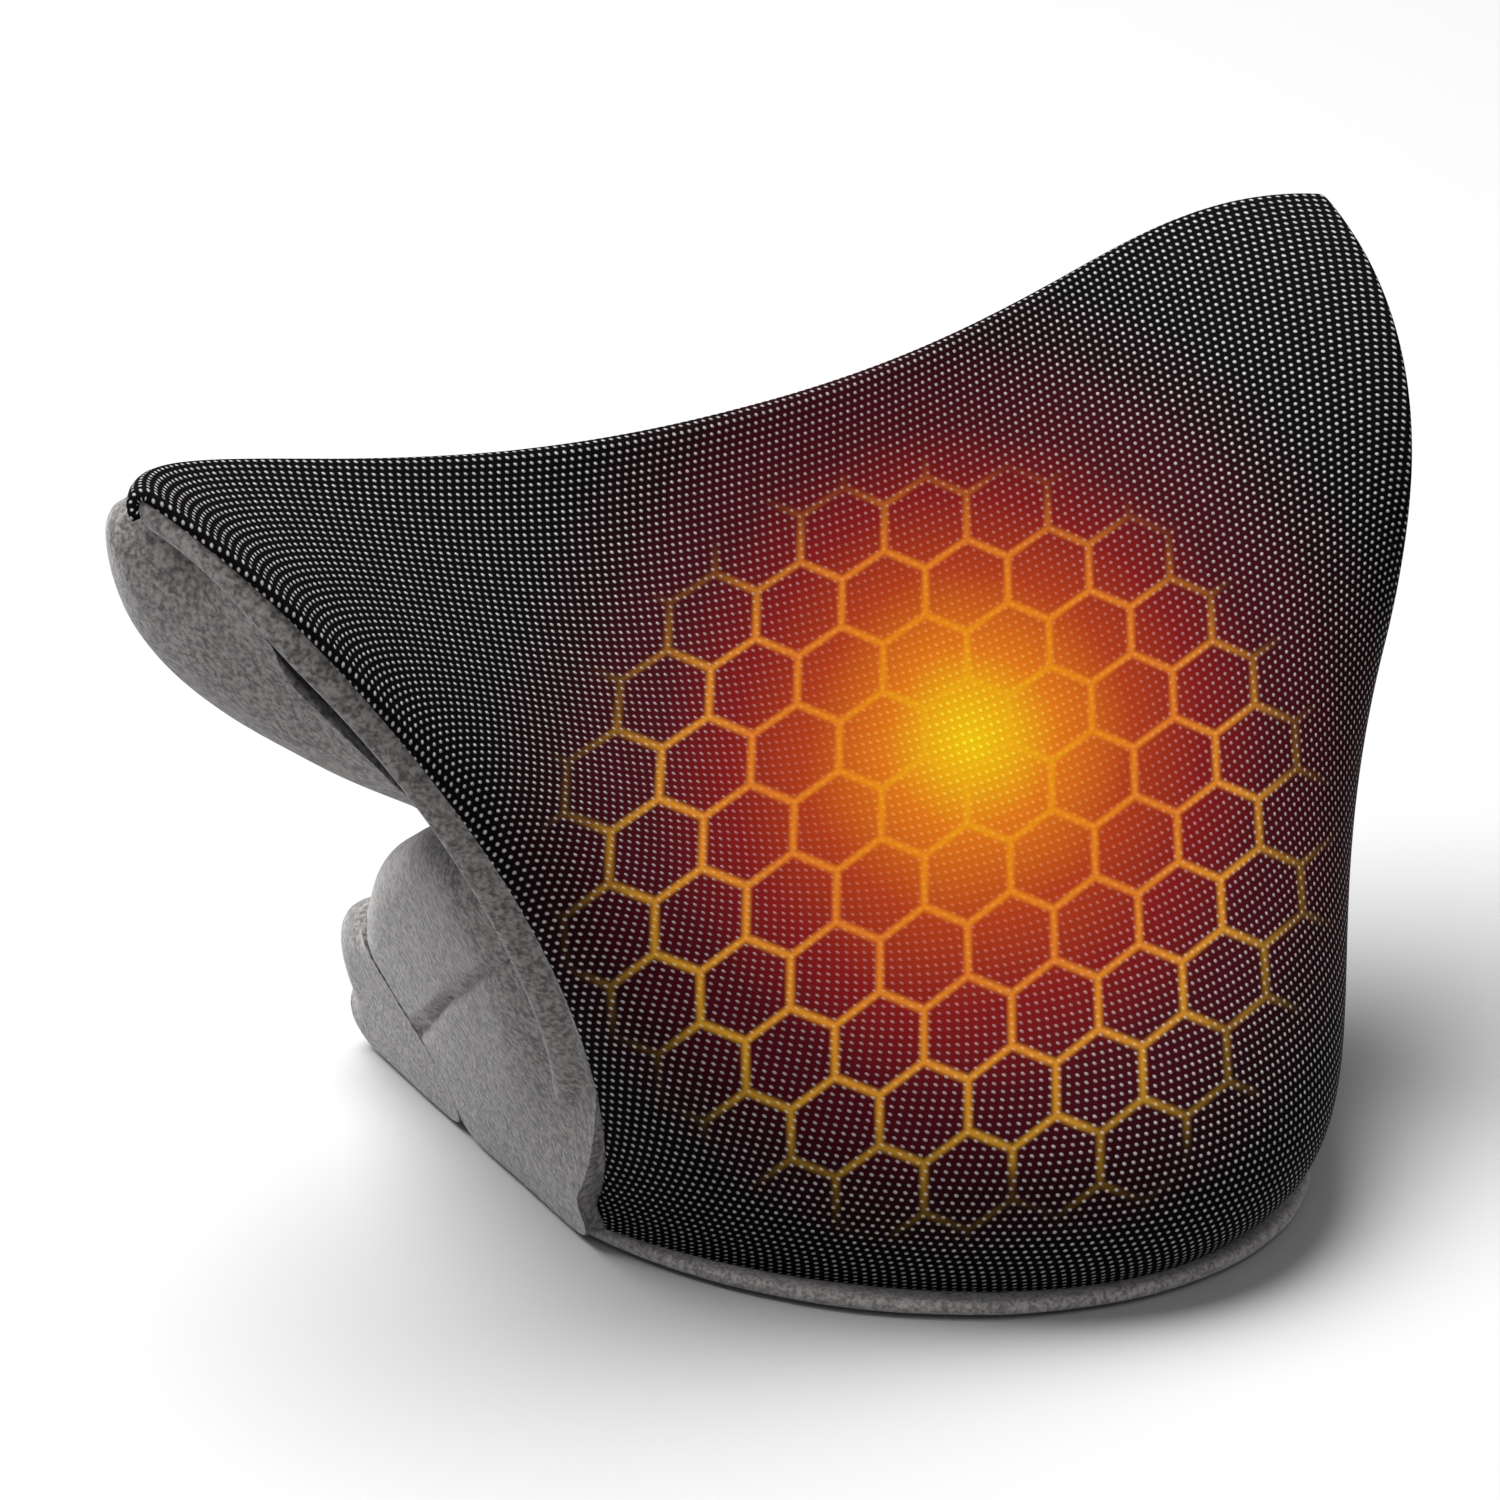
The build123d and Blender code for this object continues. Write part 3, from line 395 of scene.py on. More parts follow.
class Effects:
    """The node groups that several finishes share, each built once."""

    def __init__(self) -> None:
        """Build every shared group."""
        self.heather = self._heather()
        self.dot_weave = self._dot_weave()
        self.honeycomb = self._honeycomb()
        self.grain = self._grain()

    @staticmethod
    def _heather() -> bpy.types.NodeTree:
        """Build the mottled colour and lint height of brushed knit and felt."""
        vec, val, col = "NodeSocketVector", "NodeSocketFloat", "NodeSocketColor"
        sh, ins, outs = new_group(
            "heather", [("Place", vec), ("Fineness", val), ("Light", col), ("Dark", col)],
            [("Color", col), ("Height", val)],
        )
        place = sh.vector("SCALE", ins.outputs["Place"])
        sh.put(ins.outputs["Fineness"], place.node.inputs["Scale"])
        lint = sh.noise(place, 1300.0, 4.0)
        tufts = sh.noise(place, 620.0, 2.0)
        clouds = sh.noise(place, 95.0, 2.0)
        stretched = sh.vector("MULTIPLY", place, (1.0, 0.45, 0.8))
        fibres = sh.noise(stretched, 2100.0, 3.0)
        blend = sh.math("ADD", sh.math("MULTIPLY", lint, 0.42), sh.math("MULTIPLY", fibres, 0.28))
        blend = sh.math("ADD", blend, sh.math("MULTIPLY", tufts, 0.30))
        spread = sh.ease(blend, 0.39, 0.61)
        shade = sh.math("ADD", sh.math("MULTIPLY", spread, 0.82), sh.math("MULTIPLY", clouds, 0.24),
                        clamp=True)
        colour = sh.mix(shade, ins.outputs["Dark"], ins.outputs["Light"])
        sh.put(colour, outs.inputs["Color"])
        sh.put(sh.math("ADD", sh.math("MULTIPLY", lint, 0.6), sh.math("MULTIPLY", fibres, 0.4)),
               outs.inputs["Height"])
        return sh.tree

    @staticmethod
    def _dot_weave() -> bpy.types.NodeTree:
        """Build the staggered knots of spacer mesh as a mask, a height and a shade of each knot."""
        vec, val = "NodeSocketVector", "NodeSocketFloat"
        sh, ins, outs = new_group(
            "dot_weave", [("Place", vec), ("Pitch", val), ("Row", val), ("Knot", val)],
            [("Mask", val), ("Height", val), ("Shade", val)],
        )
        split = sh.node("ShaderNodeSeparateXYZ")
        sh.put(ins.outputs["Place"], split.inputs[0])
        pitch, row = ins.outputs["Pitch"], ins.outputs["Row"]
        v = sh.math("DIVIDE", split.outputs[1], row)
        line = sh.math("FLOOR", v)
        shift = sh.math("MULTIPLY", sh.math("FLOORED_MODULO", line, 2.0), 0.5)
        u = sh.math("ADD", sh.math("DIVIDE", split.outputs[0], pitch), shift)
        cell = sh.math("FLOOR", u)
        across = sh.math("MULTIPLY", sh.math("SUBTRACT", sh.math("FRACT", u), 0.5), pitch)
        up = sh.math("MULTIPLY", sh.math("SUBTRACT", sh.math("FRACT", v), 0.5), row)
        radius = sh.math("SQRT", sh.math("ADD", sh.math("MULTIPLY", across, across),
                                         sh.math("MULTIPLY", up, up)))
        share = sh.math("DIVIDE", radius, ins.outputs["Knot"])
        sh.put(sh.ease(share, 1.15, 0.55), outs.inputs["Mask"])
        sh.put(sh.ease(share, 1.7, 0.0), outs.inputs["Height"])
        number = sh.node("ShaderNodeCombineXYZ")
        sh.put(cell, number.inputs[0])
        sh.put(line, number.inputs[1])
        random = sh.node("ShaderNodeTexWhiteNoise", noise_dimensions="2D")
        sh.put(number.outputs[0], random.inputs["Vector"])
        sh.put(random.outputs["Value"], outs.inputs["Shade"])
        return sh.tree

    @staticmethod
    def _honeycomb() -> bpy.types.NodeTree:
        """Build a honeycomb of upright cells as the distance from a cell's wall, in cell widths."""
        vec, val = "NodeSocketVector", "NodeSocketFloat"
        sh, ins, outs = new_group("honeycomb", [("Place", vec), ("Cell", val)], [("Wall", val)])
        tall = math.sqrt(3.0)
        ratio, half = (1.0, tall, 1.0), (0.5, tall / 2, 0.0)
        scaled = sh.vector("SCALE", ins.outputs["Place"])
        sh.put(sh.math("DIVIDE", 1.0, ins.outputs["Cell"]), scaled.node.inputs["Scale"])

        def around(offset: Sequence[float]) -> bpy.types.NodeSocket:
            """Return the place within the nearest cell of one of the two lattices."""
            moved = sh.vector("SUBTRACT", scaled, offset)
            wrapped = sh.vector("FRACTION", sh.vector("DIVIDE", moved, ratio))
            return sh.vector("SUBTRACT", sh.vector("MULTIPLY", wrapped, ratio), half)

        def wall(local: bpy.types.NodeSocket) -> bpy.types.NodeSocket:
            """Return how far towards the cell's wall a place lies."""
            size = sh.vector("ABSOLUTE", local)
            slant = sh.vector("DOT_PRODUCT", size, (0.5, tall / 2, 0.0))
            parts = sh.node("ShaderNodeSeparateXYZ")
            sh.put(size, parts.inputs[0])
            return sh.math("MAXIMUM", slant, parts.outputs[0])

        flat = (1.0, 1.0, 0.0)
        first = sh.vector("MULTIPLY", around((0.0, 0.0, 0.0)), flat)
        second = sh.vector("MULTIPLY", around(half), flat)
        near = sh.math("MINIMUM", wall(first), wall(second))
        sh.put(sh.math("SUBTRACT", 0.5, near), outs.inputs["Wall"])
        return sh.tree

    @staticmethod
    def _grain() -> bpy.types.NodeTree:
        """Build the fine grain and handling marks of moulded and metal parts."""
        vec, val = "NodeSocketVector", "NodeSocketFloat"
        sh, ins, outs = new_group(
            "grain", [("Place", vec), ("Fineness", val)], [("Height", val), ("Marks", val)],
        )
        place = sh.vector("SCALE", ins.outputs["Place"])
        sh.put(ins.outputs["Fineness"], place.node.inputs["Scale"])
        fine = sh.node("ShaderNodeTexVoronoi", feature="SMOOTH_F1")
        sh.put(place, fine.inputs["Vector"])
        fine.inputs["Scale"].default_value = 1800.0
        sh.put(fine.outputs["Distance"], outs.inputs["Height"])
        sh.put(sh.ease(sh.noise(place, 120.0, 4.0), 0.35, 0.7), outs.inputs["Marks"])
        return sh.tree


def new_material(name: str) -> tuple[bpy.types.Material, Shader, bpy.types.Node]:
    """Start a material with a Principled shader.

    Args:
        name: The material's name.

    Returns:
        The material, the shader helper and the Principled node.
    """
    material = bpy.data.materials.new(name)
    material.use_nodes = True
    material.node_tree.nodes.clear()
    shader = Shader(material.node_tree)
    surface = shader.node("ShaderNodeBsdfPrincipled")
    output = shader.node("ShaderNodeOutputMaterial")
    shader.tree.links.new(surface.outputs[0], output.inputs[0])
    return material, shader, surface


# ---------------------------------------------------------------------------- finishes


@dataclass(frozen=True)
class KnitFinish:
    """Heathered, lightly brushed knit or felt."""

    name: str
    light: tuple[float, float, float] = (0.225, 0.211, 0.206)
    dark: tuple[float, float, float] = (0.030, 0.027, 0.026)
    fineness: float = 1.0
    lint_depth: float = 0.00035
    sheen: float = 0.35

    def make(self, effects: Effects) -> bpy.types.Material:
        """Build the material.

        Args:
            effects: The shared node groups.

        Returns:
            The finished material.
        """
        material, sh, surface = new_material(self.name)
        place = sh.node("ShaderNodeTexCoord").outputs["Object"]
        heather = sh.place(effects.heather, place=place, fineness=self.fineness,
                           light=(*self.light, 1.0), dark=(*self.dark, 1.0))
        sh.put(heather.outputs["Color"], surface.inputs["Base Color"])
        sh.put(sh.bump(heather.outputs["Height"], self.lint_depth, 0.8), surface.inputs["Normal"])
        surface.inputs["Roughness"].default_value = 0.95
        surface.inputs["Sheen Weight"].default_value = self.sheen
        surface.inputs["Sheen Roughness"].default_value = 0.5
        surface.inputs["Specular IOR Level"].default_value = 0.25
        return material


@dataclass(frozen=True)
class SpacerMeshFinish:
    """Black spacer mesh with pale knots and a painted glow of the heating film's honeycomb, as if lit from
    below, in its emission and base colour.
    """

    name: str = "spacer_mesh"
    pitch: float = 1.86 * MM
    row: float = 1.74 * MM
    knot: float = 0.44 * MM
    ground: tuple[float, float, float] = (0.0022, 0.0019, 0.0021)
    pale: tuple[float, float, float] = (0.37, 0.355, 0.345)
    cell: float = 16.1 * MM
    row_slope: float = 0.165
    wall_width: float = 0.078
    glow_reach: float = 86 * MM
    glow_height: float = 1.10
    cell_shift: tuple[float, float] = (0.7 * MM, -3.3 * MM)
    emitted: float = 0.62
    comb_reach: float = 76 * MM
    comb_middle: tuple[float, float] = (-1.7 * MM, -17 * MM)

    def make(self, effects: Effects) -> bpy.types.Material:
        """Build the material.

        Args:
            effects: The shared node groups.

        Returns:
            The finished material.
        """
        material, sh, surface = new_material(self.name)
        weave_place = sh.node("ShaderNodeAttribute", attribute_name="weave").outputs["Vector"]
        weave = sh.place(effects.dot_weave, place=weave_place, pitch=self.pitch, row=self.row,
                         knot=self.knot)
        mask, shade = weave.outputs["Mask"], weave.outputs["Shade"]
        knots = sh.math("MULTIPLY", mask, sh.math("MULTIPLY_ADD", shade, 0.28, 0.72))

        # Painted glow: the heating film's honeycomb glow is painted on the mesh as emission, not lit by a
        # lamp.
        glow_place = sh.node("ShaderNodeAttribute", attribute_name="glow").outputs["Vector"]
        split = sh.node("ShaderNodeSeparateXYZ")
        sh.put(glow_place, split.inputs[0])
        across, up = split.outputs[0], split.outputs[1]
        wander = sh.math("SUBTRACT", sh.noise(glow_place, 22.0, 2.0), 0.5)
        tall = sh.math("DIVIDE", up, self.glow_height)
        radius = sh.math("SQRT", sh.math("ADD", sh.math("MULTIPLY", across, across),
                                         sh.math("MULTIPLY", tall, tall)))
        reach = sh.math("DIVIDE", radius, self.glow_reach)
        reach = sh.math("MULTIPLY_ADD", wander, 0.10, reach)
        field_glow = sh.ramp(reach, (
            (0.00, (1.00, 0.62, 0.001)), (0.08, (0.95, 0.47, 0.001)), (0.19, (0.84, 0.20, 0.005)),
            (0.36, (0.50, 0.050, 0.007)), (0.52, (0.26, 0.009, 0.008)), (0.68, (0.072, 0.002, 0.006)),
            (0.87, (0.012, 0.000, 0.002)), (1.00, (0.0, 0.0, 0.0)),
        ))
        wall_glow = sh.ramp(reach, (
            (0.00, (1.00, 0.56, 0.001)), (0.25, (0.92, 0.28, 0.006)), (0.45, (0.84, 0.22, 0.018)),
            (0.62, (0.80, 0.29, 0.022)), (0.78, (0.56, 0.27, 0.020)), (1.00, (0.26, 0.16, 0.012)),
        ))
        slanted = sh.math("MULTIPLY_ADD", across, -self.row_slope, up)
        comb_place = sh.node("ShaderNodeCombineXYZ")
        sh.put(sh.math("ADD", across, self.cell_shift[0]), comb_place.inputs[0])
        sh.put(sh.math("ADD", slanted, self.cell_shift[1]), comb_place.inputs[1])
        comb = sh.place(effects.honeycomb, place=comb_place.outputs[0], cell=self.cell)
        wall = sh.ease(comb.outputs["Wall"], self.wall_width, 0.0)
        patchy = sh.ease(sh.noise(glow_place, 60.0, 2.0), 0.30, 0.55)
        fade = sh.math("SUBTRACT", 1.0, sh.math("MULTIPLY", sh.math("SUBTRACT", 1.0, patchy),
                                                sh.ease(reach, 0.6, 1.0)))
        off_x = sh.math("SUBTRACT", across, self.comb_middle[0])
        off_y = sh.math("SUBTRACT", up, self.comb_middle[1])
        comb_radius = sh.math("SQRT", sh.math("ADD", sh.math("MULTIPLY", off_x, off_x),
                                              sh.math("MULTIPLY", off_y, off_y)))
        comb_share = sh.math("MULTIPLY_ADD", wander, 0.12, sh.math("DIVIDE", comb_radius, self.comb_reach))
        lines = sh.math("MULTIPLY", sh.math("MULTIPLY", wall, fade), sh.ease(comb_share, 1.0, 0.70))
        glow = sh.mix(lines, field_glow, wall_glow)
        # Painted glow: knots are hidden under the glowing comb lines and turned whiter in the emission.
        open_knots = sh.math("MULTIPLY", knots, sh.math("MULTIPLY_ADD", lines, -0.7, 1.0))
        tint = sh.mix(open_knots, (1.0, 1.0, 1.0, 1.0), (1.22, 1.75, 3.0, 1.0))
        sh.put(sh.mix(1.0, glow, tint, "MULTIPLY"), surface.inputs["Emission Color"])
        surface.inputs["Emission Strength"].default_value = self.emitted

        # Painted glow: the knots' pale colour is dimmed towards the glow's middle, where the glow stands in
        # for them.
        pale_share = sh.math("MULTIPLY", open_knots, sh.math("MULTIPLY_ADD", sh.ease(reach, 0.30, 1.0),
                                                             0.94, 0.06))
        base = sh.mix(pale_share, (*self.ground, 1.0), (*self.pale, 1.0))
        # Painted glow: part of the glow is also added into the base colour.
        sh.put(sh.mix((1 - self.emitted) * 0.35, base, glow, "ADD"), surface.inputs["Base Color"])
        sh.put(sh.bump(weave.outputs["Height"], 0.35 * MM, 0.7), surface.inputs["Normal"])
        sh.put(sh.math("MULTIPLY_ADD", knots, -0.2, 0.8), surface.inputs["Roughness"])
        surface.inputs["Specular IOR Level"].default_value = 0.02
        return material


@dataclass(frozen=True)
class MouldedFinish:
    """Moulded plastic or rubber with a fine grain and slight handling marks."""

    name: str
    colour: tuple[float, float, float]
    roughness: float = 0.5
    fineness: float = 1.0
    grain_depth: float = 0.00004
    coat: float = 0.0
    metallic: float = 0.0

    def make(self, effects: Effects) -> bpy.types.Material:
        """Build the material.

        Args:
            effects: The shared node groups.

        Returns:
            The finished material.
        """
        material, sh, surface = new_material(self.name)
        place = sh.node("ShaderNodeTexCoord").outputs["Object"]
        grain = sh.place(effects.grain, place=place, fineness=self.fineness)
        marks = grain.outputs["Marks"]
        worn = tuple(min(1.0, c * 1.18 + 0.012) for c in self.colour)
        sh.put(sh.mix(marks, (*self.colour, 1.0), (*worn, 1.0)), surface.inputs["Base Color"])
        sh.put(sh.math("MULTIPLY_ADD", marks, 0.12, self.roughness - 0.06), surface.inputs["Roughness"])
        sh.put(sh.bump(grain.outputs["Height"], self.grain_depth, 0.6), surface.inputs["Normal"])
        surface.inputs["Coat Weight"].default_value = self.coat
        surface.inputs["Metallic"].default_value = self.metallic
        return material


@dataclass(frozen=True)
class DrawnMetalFinish:
    """Turned or drawn metal with fine lines along one axis."""

    name: str
    colour: tuple[float, float, float]
    roughness: float = 0.28
    stretch: tuple[float, float, float] = (0.04, 1.0, 1.0)

    def make(self, effects: Effects) -> bpy.types.Material:
        """Build the material.

        Args:
            effects: The shared node groups.

        Returns:
            The finished material.
        """
        material, sh, surface = new_material(self.name)
        place = sh.node("ShaderNodeTexCoord").outputs["Object"]
        lines = sh.noise(sh.vector("MULTIPLY", place, self.stretch), 2600.0, 3.0)
        grain = sh.place(effects.grain, place=place, fineness=0.7)
        darker = tuple(c * 0.72 for c in self.colour)
        sh.put(sh.mix(grain.outputs["Marks"], (*darker, 1.0), (*self.colour, 1.0)),
               surface.inputs["Base Color"])
        sh.put(sh.math("MULTIPLY_ADD", lines, 0.3, self.roughness - 0.15), surface.inputs["Roughness"])
        sh.put(sh.bump(lines, 0.00002, 0.5), surface.inputs["Normal"])
        surface.inputs["Metallic"].default_value = 1.0
        return material


@dataclass(frozen=True)
class CombPrintFinish:
    """A film or board with a printed honeycomb of conductor."""

    name: str
    ground: tuple[float, float, float]
    print_colour: tuple[float, float, float]
    cell: float = 16.1 * MM
    width: float = 0.06
    metallic: float = 0.0

    def make(self, effects: Effects) -> bpy.types.Material:
        """Build the material.

        Args:
            effects: The shared node groups.

        Returns:
            The finished material.
        """
        material, sh, surface = new_material(self.name)
        place = sh.node("ShaderNodeTexCoord").outputs["Object"]
        parts = sh.node("ShaderNodeSeparateXYZ")
        sh.put(place, parts.inputs[0])
        flat = sh.node("ShaderNodeCombineXYZ")
        sh.put(parts.outputs[0], flat.inputs[0])
        sh.put(parts.outputs[2], flat.inputs[1])
        comb = sh.place(effects.honeycomb, place=flat.outputs[0], cell=self.cell)
        wall = sh.ease(comb.outputs["Wall"], self.width, self.width * 0.6)
        sh.put(sh.mix(wall, (*self.ground, 1.0), (*self.print_colour, 1.0)), surface.inputs["Base Color"])
        sh.put(sh.math("MULTIPLY_ADD", wall, -0.15, 0.5), surface.inputs["Roughness"])
        sh.put(sh.bump(wall, 0.00004, 0.7), surface.inputs["Normal"])
        surface.inputs["Metallic"].default_value = self.metallic
        return material


@dataclass(frozen=True)
class WovenTapeFinish:
    """Tightly woven ribbon with a herringbone of fine threads."""

    name: str
    colour: tuple[float, float, float]
    thread: float = 0.7 * MM

    def make(self, effects: Effects) -> bpy.types.Material:
        """Build the material.

        Args:
            effects: The shared node groups.

        Returns:
            The finished material.
        """
        material, sh, surface = new_material(self.name)
        place = sh.node("ShaderNodeAttribute", attribute_name="weave").outputs["Vector"]
        weave = sh.place(effects.dot_weave, place=place, pitch=self.thread * 2, row=self.thread,
                         knot=self.thread * 0.75)
        lint = sh.place(effects.heather, place=place, fineness=1.6, light=(1.0, 1.0, 1.0, 1.0),
                        dark=(0.55, 0.55, 0.55, 1.0))
        low = tuple(c * 0.45 for c in self.colour)
        threads = sh.mix(weave.outputs["Mask"], (*low, 1.0), (*self.colour, 1.0))
        sh.put(sh.mix(1.0, threads, lint.outputs["Color"], "MULTIPLY"), surface.inputs["Base Color"])
        sh.put(sh.bump(weave.outputs["Height"], 0.0002, 0.8), surface.inputs["Normal"])
        surface.inputs["Roughness"].default_value = 0.85
        surface.inputs["Sheen Weight"].default_value = 0.2
        return material


# ---------------------------------------------------------------------------- the saddle's form


@dataclass(frozen=True)
class SaddleForm:
    """The saddle's surface: a centre curve, an edge curve and the plan arc that joins them."""

    half_width: float = 74 * MM
    flare: float = 0.45
    sweep: float = 0.09
    front_arc: float = 88.0
    crest_arc: float = 31.0
    corner_rounding: float = 0.10
    rise_power: float = 1.115
    hem: float = 4 * MM
    edge: tuple = ((0.0, 4 * MM), (-39 * MM, 35 * MM), (-56 * MM, 152 * MM), (58 * MM, 167 * MM))
    centre: tuple = ((-90 * MM, 4 * MM), (-140 * MM, 42 * MM), (-1 * MM, 81 * MM), (40 * MM, 140 * MM))

    def width(self, y: float, z: float) -> float:
        """Return the saddle's half width at a place."""
        return self.half_width + self.flare * z + self.sweep * y

    def point(self, s: float, t: float) -> Vector:
        """Return the outer point at s from side to side and t from hem to crest."""
        level = t * (1 - self.corner_rounding * abs(s) ** 8)
        edge_y, edge_z = bezier(self.edge, level)
        centre_y, centre_z = bezier(self.centre, level)
        arc = math.radians(self.front_arc + (self.crest_arc - self.front_arc) * level)
        across = math.sin(arc * s) / math.sin(arc)
        back = (1 - math.cos(arc * s)) / (1 - math.cos(arc))
        y = centre_y + (edge_y - centre_y) * back
        z = centre_z + (edge_z - centre_z) * back ** self.rise_power
        return Vector((across * self.width(y, z), y, z))

    def axes(self, s: float, t: float) -> tuple[Vector, Vector, Vector]:
        """Return the unit directions along s, along t and outward at a point.

        Args:
            s: The place from side to side.
            t: The place from hem to crest.

        Returns:
            The three directions, the first two square to the third.
        """
        step = 1e-4
        inner_s = min(max(s, step - 1), 1 - step)
        inner_t = min(max(t, step), 1 - step)
        along = self.point(inner_s + step, inner_t) - self.point(inner_s - step, inner_t)
        up = self.point(inner_s, inner_t + step) - self.point(inner_s, inner_t - step)
        out = along.cross(up).normalized()
        return along.normalized(), up.normalized(), out

    def below(self, s: float, t: float, depth: float) -> Vector:
        """Return the point that lies depth under the outer point."""
        return self.point(s, t) - self.axes(s, t)[2] * depth


@dataclass
class LayerDepths:
    """How deep the cover's layers lie under the saddle's surface."""

    mesh: float = 2.2 * MM
    foam_top: float = 3.6 * MM
    foam_bottom: float = 13.6 * MM
    core: float = 14.6 * MM


# ---------------------------------------------------------------------------- mesh cover


@dataclass
class MeshCover:
    """The black spacer-mesh cover, rolled in at its sides, hem and crest."""

    form: SaddleForm
    reach: float = 0.988
    side_roll: float = 1.3 * MM
    hem_roll: float = 1.6 * MM
    crest_roll: float = 3.4 * MM
    crest_start: float = 0.992
    columns: int = 200
    rows: int = 150
    roll_steps: int = 10
    thickness: float = 1.2 * MM
    glow_middle: tuple[float, float] = (0.03, 0.67)
    view_turn: float = 41.575
    view_rise: float = 21.214

    def _stations(self) -> tuple[list[tuple[float, float]], list[tuple[float, float]]]:
        """Return the s and t stations, each with its roll angle beyond the edge.

        Returns:
            Pairs of place and signed roll angle, across and up.
        """
        full = math.radians(150)
        rolls = [full * (k + 1) / self.roll_steps for k in range(self.roll_steps)]
        across = [(-self.reach, -a) for a in reversed(rolls)]
        across += [(-self.reach + 2 * self.reach * i / (self.columns - 1), 0.0) for i in range(self.columns)]
        across += [(self.reach, a) for a in rolls]
        crest = [math.radians(175) * (k + 1) / self.roll_steps for k in range(self.roll_steps)]
        up = [(0.0, -a) for a in reversed(rolls)]
        up += [(self.crest_start * i / (self.rows - 1), 0.0) for i in range(self.rows)]
        up += [(self.crest_start, a) for a in crest]
        return across, up

    def _place(self, s: float, side_turn: float, t: float, end_turn: float) -> Vector:
        """Return one vertex, on the saddle or on one of its rolled edges."""
        along, up, out = self.form.axes(s, t)
        place = self.form.point(s, t)
        if end_turn:
            radius = self.crest_roll if end_turn > 0 else self.hem_roll
            turned = out * math.cos(end_turn) + up * math.sin(end_turn)
            place = place - out * radius + turned * radius
            out = turned
        if side_turn:
            sideways = along if side_turn > 0 else -along
            angle = abs(side_turn)
            place = place - out * self.side_roll
            place = place + (out * math.cos(angle) + sideways * math.sin(angle)) * self.side_roll
        return place

    def build(self, effects: Effects) -> bpy.types.Object:
        """Build and dress the cover.

        Args:
            effects: The shared node groups.

        Returns:
            The cover's object.
        """
        across, up = self._stations()
        points = [[self._place(s, a, t, b) for s, a in across] for t, b in up]
        middle = len(across) // 2
        flat = [p for row in points for p in row]
        cover = new_piece("mesh_cover_knit", flat, grid_faces(len(up), len(across)))
        set_point_vectors(cover, "weave", self._weave(points, middle))
        set_point_vectors(cover, "glow", self._glow(flat))
        solid = cover.modifiers.new("knit thickness", "SOLIDIFY")
        solid.thickness = self.thickness
        solid.offset = -1.0
        dress(cover, SpacerMeshFinish().make(effects))
        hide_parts("mesh_cover")
        return cover

    @staticmethod
    def _weave(points: list[Loop], middle: int) -> list[tuple[float, float, float]]:
        """Return each vertex's place in the cloth: run along its row, and height of the row."""
        values, height = [], 0.0
        for j, row in enumerate(points):
            if j:
                height += sum((a - b).length for a, b in zip(row, points[j - 1])) / len(row)
            runs = [0.0]
            for a, b in zip(row, row[1:]):
                runs.append(runs[-1] + (b - a).length)
            values += [(run - runs[middle], height, 0.0) for run in runs]
        return values

    def _glow(self, flat: Loop) -> list[tuple[float, float, float]]:
        """Return each vertex's place on the plane of the heating film's painted glow, which faces the front
        corner at the camera's turn and rise.
        """
        turn, rise = math.radians(self.view_turn), math.radians(self.view_rise)
        right = Vector((math.cos(turn), -math.sin(turn), 0.0))
        ahead = Vector((math.sin(turn) * math.cos(rise), math.cos(turn) * math.cos(rise), -math.sin(rise)))
        above = right.cross(ahead)
        middle = self.form.point(*self.glow_middle)
        return [((p - middle) @ right, (p - middle) @ above, 0.0) for p in flat]

    @staticmethod
    def _flat_size(points: list[Loop]) -> tuple[float, float, float]:
        """Return the cloth's cut width, length and area.

        Args:
            points: The cover's rows of vertices.

        Returns:
            Width, length and area, in metres and square metres.
        """
        width = max(sum((b - a).length for a, b in zip(row, row[1:])) for row in points)
        columns = list(zip(*points))
        length = max(sum((b - a).length for a, b in zip(c, c[1:])) for c in columns)
        area = 0.0
        for low, high in zip(points, points[1:]):
            for a, b, c, d in zip(low, low[1:], high, high[1:]):
                area += ((b - a).cross(c - a).length + (d - b).cross(d - c).length) / 2
        return width, length, area


# ---------------------------------------------------------------------------- edge welts


